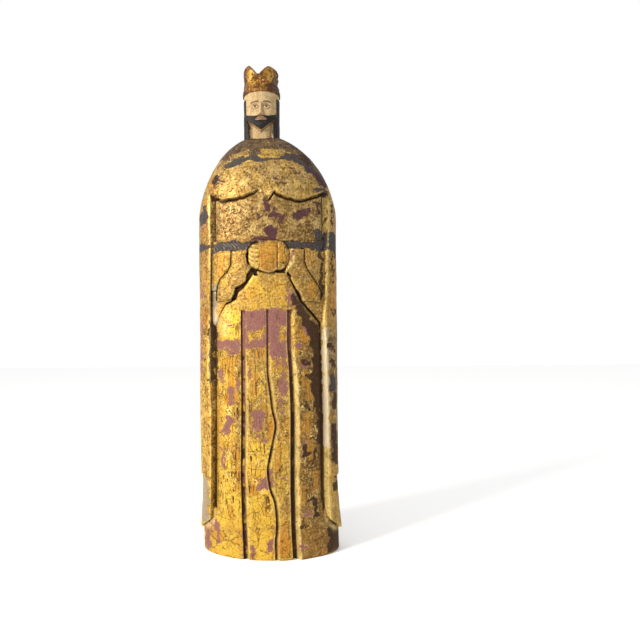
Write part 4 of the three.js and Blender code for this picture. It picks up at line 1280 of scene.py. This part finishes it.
def gildedFinish(name):
    finish = Finish(name, gilding)
    fine = finish.grain(1.3, 4.0, 0.65)
    middle = finish.grain(5.0)
    broad = finish.grain(38.0, 2.0, 0.5)
    tone = finish.grain(11.0, 4.0, 0.65)
    mottle = finish.grain(2.3, 3.0, 0.7)
    sparse = finish.grain(9.0)
    flakes = finish.cells(4.2, "F1", finish.warped(3.5, 4.0))
    ragged = (fine - 0.5) * 5.0 + (middle - 0.5) * 8.0 + (flakes - 0.45) * 1.2
    names = ("hollow", "depth", "flecks", "crinkle", "light", "paintedLight")
    hollow, depth, flecks, crinkle, light, paintedLight = [finish.mark(name) for name in names]
    # Hair lines where the leaf has crinkled, each dark with a painted highlight beside it, and upright cuts
    # of the chisel
    leaf = finish.mark("warm") + ragged * 0.5
    whole = leaf.rise(-0.5, 1.0)
    some = finish.grain(8.0, 2.0, 0.5).rise(0.42, 0.56) * (1.0 - leaf.rise(0.3, 1.5) * 0.6)
    wave = finish.grain(6.5, 2.5, 0.55, finish.stretched(1.0, 1.0, 0.62), 1.4) - 0.5
    hairLine = (1.0 - abs(wave).rise(0.006, 0.026)) * some
    glint = (wave.rise(0.012, 0.030) - wave.rise(0.045, 0.075)) * some
    upright = finish.grain(3.6, 2.0, 0.5, finish.stretched(1.0, 1.0, 0.05), 0.6) - 0.5
    cut = (1.0 - abs(upright).rise(0.010, 0.040)) * (1.0 - some) * (0.55 + paintedLight * 0.6)
    pits = fine * 0.45 + finish.grain(2.1) * 0.55 + flecks * 0.03 + (sparse - 0.5) * 0.16
    gone = pits.rise(0.580, 0.600)
    # Leaf: sheets of a warmer or a duller gold, laid edge over edge
    sheetPlace = finish.warped(9.0, 14.0)
    sheet = finish.cells(17.0, "F1", sheetPlace, "Color")
    sheetEdge = 1.0 - finish.cells(17.0, "DISTANCE_TO_EDGE", sheetPlace).rise(0.012, 0.035)
    # Painted light: where the painted light mark runs high the leaf turns yellower and, at its highest,
    # bright; where it runs low it turns buff. Random tone and sheet changes mix in
    lit = tone.rise(0.38, 0.62) * 0.5 + sheet.rise(0.25, 0.75) * 0.55 + paintedLight - 0.6
    shining = paintedLight.rise(0.75, 1.25)
    warm = broad.rise(0.46, 0.66) * 0.5 + (finish.mark("warm") + ragged).rise(-1.0, 1.0) * 0.6
    dull = (flecks - paintedLight * 0.8).rise(0.1, 1.0)
    calm = 1.0 - whole * 0.5 - shining * 0.4
    gold = finish.blend(
        "tan",
        (lit, "yellow"),
        (shining * lit * 0.6, "bright"),
        (warm, "orange"),
        (dull * (1.2 - sheet) * 0.5, "buff"),
        (finish.mark("brown") * (0.5 + sheet) * (1.0 - whole * 0.8), "brown"),
        ((1.0 - abs(leaf).rise(0.15, 0.60)) * 0.75, "umber"),
        (sheetEdge * middle.rise(0.40, 0.55) * 0.6, "umber"),
        (glint * (0.15 + crinkle * 0.6), "pale"),
        (hairLine * (0.15 + crinkle * 0.7), "umber"),
        (cut * crinkle * 0.9, "umber"),
        (mottle.rise(0.52, 0.64) * calm * 0.35, "pale"),
        ((1.0 - mottle).rise(0.52, 0.64) * calm * 0.30, "umber"),
        ((1.0 - fine).rise(0.50, 0.64) * 0.30, "umber"),
        (sparse.rise(0.50, 0.60) * middle.rise(0.44, 0.58) * flecks * 0.32, "brown"),
        ((1.0 - sparse).rise(0.50, 0.62) * flecks * 0.18, "pale"),
        (gone * (0.55 + flecks * 0.25), "umber"),
        # Painted highlight where the light mark lies, broken by dark lines
        (light * (0.80 + (fine - 0.5) * 1.6 - tone.rise(0.50, 0.62) * 0.35), "pale"),
        (light * (hairLine + gone).rise(0.2, 0.9) * 0.6, "umber"),
    )
    # Paint and ground laid over it, then painted shade in hollows and deep places
    boleIn = finish.mark("bole") + ragged
    boleMask = boleIn.rise(-0.3, 0.3)
    bole = finish.blend(
        "bole",
        (fine.rise(0.35, 0.7), "boleLight"),
        # Painted shade: darker bole in deep places
        (depth.rise(0.68, 1.0), "boleDark"),
        ((1.0 - boleIn.rise(0.8, 2.6)) * (hairLine + cut).rise(0.2, 0.7) * 0.9, "yellow"),
        (cut * 0.5, "boleDark"),
    )
    ashMask = (finish.mark("ash") + ragged * 0.7).rise(-0.25, 0.35)
    # Painted highlight on the ash where the light mark lies
    ash = finish.blend("ash", (fine.rise(0.4, 0.65), "ashTan"), (light * 1.1, "ashHighlight"))
    wornMask = (finish.mark("worn") + ragged).rise(-0.6, 0.6)
    worn = finish.blend(
        "wornDark",
        (middle.rise(0.42, 0.62), "wornBrown"),
        (tone.rise(0.50, 0.62) * 0.45, "wornTan"),
        (fine.rise(0.62, 0.66) * 0.8, "pale"),
    )
    slateMask = (finish.mark("slate") + ragged * 0.32).rise(-0.25, 0.3)
    rubbed = fine.rise(0.52, 0.72) * 0.25 + finish.mark("stroke") * middle.rise(0.40, 0.60) * 0.6
    slate = finish.blend("slate", (middle.rise(0.45, 0.65) * 0.5, "boleDark"), (rubbed, "slateRubbed"))
    plumIn = finish.mark("plum") + ragged * 0.45
    plumMask = plumIn.rise(-0.2, 0.25)
    comb = 1.0 - abs(upright).rise(0.02, 0.06)
    # Near-black: painted shade, and grime
    shadeAndGrimeMask = (finish.mark("shadeAndGrime") + ragged * 0.8).rise(-0.25, 0.35)
    shadeAndGrime = finish.blend("shadeAndGrime", (fine.rise(0.5, 0.7) * 0.4, "shadeAndGrimeBrown"))
    colour = finish.blend(
        gold,
        (boleMask, bole),
        (ashMask * 0.85, ash),
        (wornMask * 0.9, worn),
        (slateMask, slate),
        (plumMask * (1.0 - comb * (1.0 - plumIn.rise(0.8, 2.4)) * 0.8) * 0.95, "plum"),
        (plumIn.rise(-1.8, -0.6) * comb * 0.8, "plum"),
        (shadeAndGrimeMask * 0.93, shadeAndGrime),
        # Painted shade in hollows and deep places; on ridges a pale that is partly painted highlight and
        # partly rubbed leaf
        (hollow.rise(0.08, 0.45) * 0.6, "umber"),
        (hollow.rise(0.35, 0.90) * 0.8, "shadeAndGrime"),
        (depth.rise(0.80, 0.98) * (1.0 - ashMask) * 0.8, "shadeAndGrime"),
        ((-hollow).rise(0.15, 0.8) * middle.rise(0.35, 0.6) * 0.45, "pale"),
    )
    covered = (1.0 - boleMask) * (1.0 - slateMask) * (1.0 - shadeAndGrimeMask)
    covered = 1.0 - covered * (1.0 - wornMask) * (1.0 - plumMask)
    metal = (1.0 - covered) * (1.0 - gone * 0.5) * 0.55
    rough = mix(0.42, 0.66, covered) + fine * 0.16
    finish.shine(Base_Color=colour, Metallic=metal, Roughness=rough, Specular_IOR_Level=0.12)
    height = fine * 0.35 + mottle * 0.4 + middle * 0.6 - hairLine * 0.5 * (0.3 + crinkle) - gone * 0.5
    finish.relief(height - boleMask * 0.25 - plumMask * 0.3 - cut * crinkle * 0.4, 0.4)
    return finish.material


flesh = {
    "cream": (0.315, 0.215, 0.10),
    "light": (0.44, 0.33, 0.18),
    "pale": (0.56, 0.45, 0.28),
    "tan": (0.21, 0.115, 0.05),
    "brown": (0.09, 0.045, 0.02),
    "lips": (0.27, 0.12, 0.08),
    "eye": (0.52, 0.45, 0.33),
    "black": (0.008, 0.007, 0.006),
    "blackRubbed": (0.040, 0.030, 0.024),
    "chip": (0.16, 0.12, 0.08),
}


def paintedFinish(name):
    finish = Finish(name, flesh)
    fine = finish.grain(0.9, 4.0, 0.65)
    middle = finish.grain(3.5)
    grit = finish.grain(1.9, 3.0, 0.65)
    stainAndShade = finish.grain(9.0, 3.0, 0.55)
    cracks = 1.0 - finish.cells(2.3, "DISTANCE_TO_EDGE", finish.warped(1.6, 4.0)).rise(0.0, 0.055)
    neck, eye = finish.mark("neck"), finish.mark("eye")
    skin = finish.blend(
        "cream",
        (middle.rise(0.35, 0.65), "light"),
        (stainAndShade.rise(0.55, 0.75) * 0.45, "tan"),
        (cracks * (0.25 + neck * 0.35), "tan"),
        # Painted shade in the head's hollows
        (finish.mark("hollow").rise(0.05, 0.6) * 0.7, "tan"),
        ((1.0 - grit).rise(0.50, 0.64) * 0.35, "tan"),
        (grit.rise(0.52, 0.66) * 0.35, "pale"),
        ((grit * 0.6 + middle * 0.4).rise(0.57, 0.61) * (0.3 + neck * 0.7), "brown"),
        (finish.mark("shade") * 0.75, "brown"),
        (finish.mark("lips").rise(-0.1, 0.35) * 0.75, "lips"),
        (eye.rise(-0.05, 0.15), "eye"),
        (eye.rise(-0.05, 0.12) * finish.mark("iris").rise(-0.15, 0.15), "brown"),
        ((finish.mark("brow") + (fine - 0.5) * 0.25).rise(-0.1, 0.15) * 0.9, "brown"),
    )
    hairMask = (finish.mark("hair") + (middle - 0.5) * 0.8 + (fine - 0.5) * 0.5).rise(-0.12, 0.12)
    beardMask = (finish.mark("beard") + (middle - 0.5) * 0.7 + (fine - 0.5) * 0.5).rise(-0.15, 0.2)
    covered = 1.0 - (1.0 - hairMask) * (1.0 - beardMask)
    dark = finish.blend("black", (fine.rise(0.45, 0.75) * 0.6, "blackRubbed"))
    chipped = (fine * 0.5 + middle * 0.5).rise(0.615, 0.65) * covered
    colour = finish.blend(skin, (covered, dark), (chipped * 0.5, "chip"))
    rough = 0.50 + fine * 0.15 - covered * 0.12
    finish.shine(Base_Color=colour, Roughness=rough, Specular_IOR_Level=0.14)
    finish.relief(fine * 0.3 + middle * 0.4 - cracks * 0.5 * (1.0 - covered), 0.22)
    return finish.material


crownGold = {
    "brown": (0.075, 0.027, 0.005),
    "gold": (0.26, 0.112, 0.014),
    "lobe": (0.37, 0.20, 0.034),
    "glint": (0.66, 0.42, 0.13),
    "gone": (0.030, 0.010, 0.004),
    "shadeAndGrime": (0.035, 0.013, 0.005),
    # Painted shade for the hollows
    "hollow": (0.06, 0.022, 0.01),
}


def crownFinish(name):
    finish = Finish(name, crownGold)
    fine = finish.grain(1.0, 4.0, 0.65)
    middle = finish.grain(3.6)
    grit = finish.grain(2.2, 3.0, 0.65)
    ragged = (fine - 0.5) * 1.6 + (middle - 0.5) * 4.0
    gone = (grit * 0.5 + middle * 0.5).rise(0.51, 0.57)
    # Near-black patches: painted shade on the crown's sides and in its crevices
    shadeAndGrime = (finish.mark("shadeAndGrime") + ragged * 0.7).rise(-0.4, 0.6)
    colour = finish.blend(
        "brown",
        (middle.rise(0.42, 0.60), "gold"),
        ((finish.mark("lobe") + ragged).rise(-1.2, 1.2) * 0.85, "lobe"),
        (grit.rise(0.52, 0.62) * 0.6, "glint"),
        (gone * 0.85, "gone"),
        (shadeAndGrime * 0.85, "shadeAndGrime"),
        # Painted shade in the crown's hollows
        (finish.mark("hollow").rise(0.05, 0.5) * 0.8, "hollow"),
    )
    metal = (1.0 - shadeAndGrime) * (1.0 - gone * 0.6) * 0.5
    finish.shine(Base_Color=colour, Metallic=metal, Roughness=0.38 + fine * 0.2, Specular_IOR_Level=0.15)
    finish.relief(fine * 0.4 + middle * 0.6 - gone * 0.4, 0.3)
    return finish.material


gildedWood = gildedFinish("giltCloth")
paintedWood = paintedFinish("paintedHead")
gildedCrown = crownFinish("giltCrown")
print("finishes mixed")

carve("kingCloak", cloakGrid, placeCloak, gildedWood)
carve("kingRobe", robeGrid, placeRobe, gildedWood)
carve("kingHead", headGrid, placeHead, paintedWood, 50)
carve("kingCrown", crownGrid, placeCrown, gildedCrown, 45)


# Floor, light and camera

studio = {
    "worldLight": 1.0,
    "worldColour": (1.0, 1.0, 1.0, 1.0),
    "floorSize": 8.0,  # metres, as are all places below
    "floorColour": (0.96, 0.96, 0.96),
    "keyPower": 25.0,
    "keyColour": (1.0, 0.92, 0.80),
    "keyPlace": (-0.95, -0.80, 0.86),
    "keySize": 0.35,
    "fillPower": 0.5,
    "fillColour": (0.9, 0.94, 1.0),
    "fillPlace": (0.9, -0.9, 0.5),
    "fillSize": 0.8,
    "aim": (0.0, 0.0, 0.25),
    "cameraAway": 0.6,
    "cameraMiddle": (-0.0012, 0.004),
    "cameraSide": 3.0,  # degrees
    "cameraRoll": -0.48,  # degrees
    "cameraZ": 0.2123,
    "film": 36.0,
    "frame": 640.0,  # pixels
    "focus": 573.6,  # pixels
    "tilt": 20.0,  # pixels
    "shiftX": 0.0811,
}
bpy.ops.mesh.primitive_plane_add(size=studio["floorSize"], location=(0.0, 0.0, 0.0))
floor = bpy.context.object
floor.name = "floor"
floorFinish = Finish("paleFloor", studio)
floorFinish.shine(Base_Color=floorFinish.paint("floorColour"), Roughness=0.9, Specular_IOR_Level=0.0)
floor.data.materials.append(floorFinish.material)

world = bpy.data.worlds.new("studio")
world.use_nodes = True
world.node_tree.nodes["Background"].inputs["Color"].default_value = studio["worldColour"]
world.node_tree.nodes["Background"].inputs["Strength"].default_value = studio["worldLight"]
bpy.context.scene.world = world


def lamp(name):
    light = bpy.data.lights.new(name + "Light", "AREA")
    light.energy = studio[name + "Power"]
    light.size = studio[name + "Size"]
    light.color = studio[name + "Colour"]
    holder = bpy.data.objects.new(name + "Light", light)
    bpy.context.scene.collection.objects.link(holder)
    holder.location = studio[name + "Place"]
    x, y, z = np.array(studio["aim"]) - np.array(studio[name + "Place"])
    holder.rotation_euler = Euler((math.atan2(math.hypot(x, y), -z), 0.0, math.atan2(-x, y)))


lamp("key")
lamp("fill")

lens = bpy.data.cameras.new("camera")
camera = bpy.data.objects.new("camera", lens)
bpy.context.scene.collection.objects.link(camera)
side = math.radians(studio["cameraSide"])
away = studio["cameraAway"]
middleX, middleY = studio["cameraMiddle"]
camera.location = (middleX + away * math.sin(side), middleY - away * math.cos(side), studio["cameraZ"])
tilt = math.atan(studio["tilt"] / studio["focus"])
roll = Matrix.Rotation(math.radians(studio["cameraRoll"]), 3, "Z")
camera.rotation_euler = (Euler((math.pi / 2 + tilt, 0.0, side)).to_matrix() @ roll).to_euler()
lens.lens = studio["film"] * studio["focus"] / studio["frame"]
lens.shift_x = studio["shiftX"]
bpy.context.scene.camera = camera
bpy.context.scene.view_settings.view_transform = "Standard"
print("studio set")
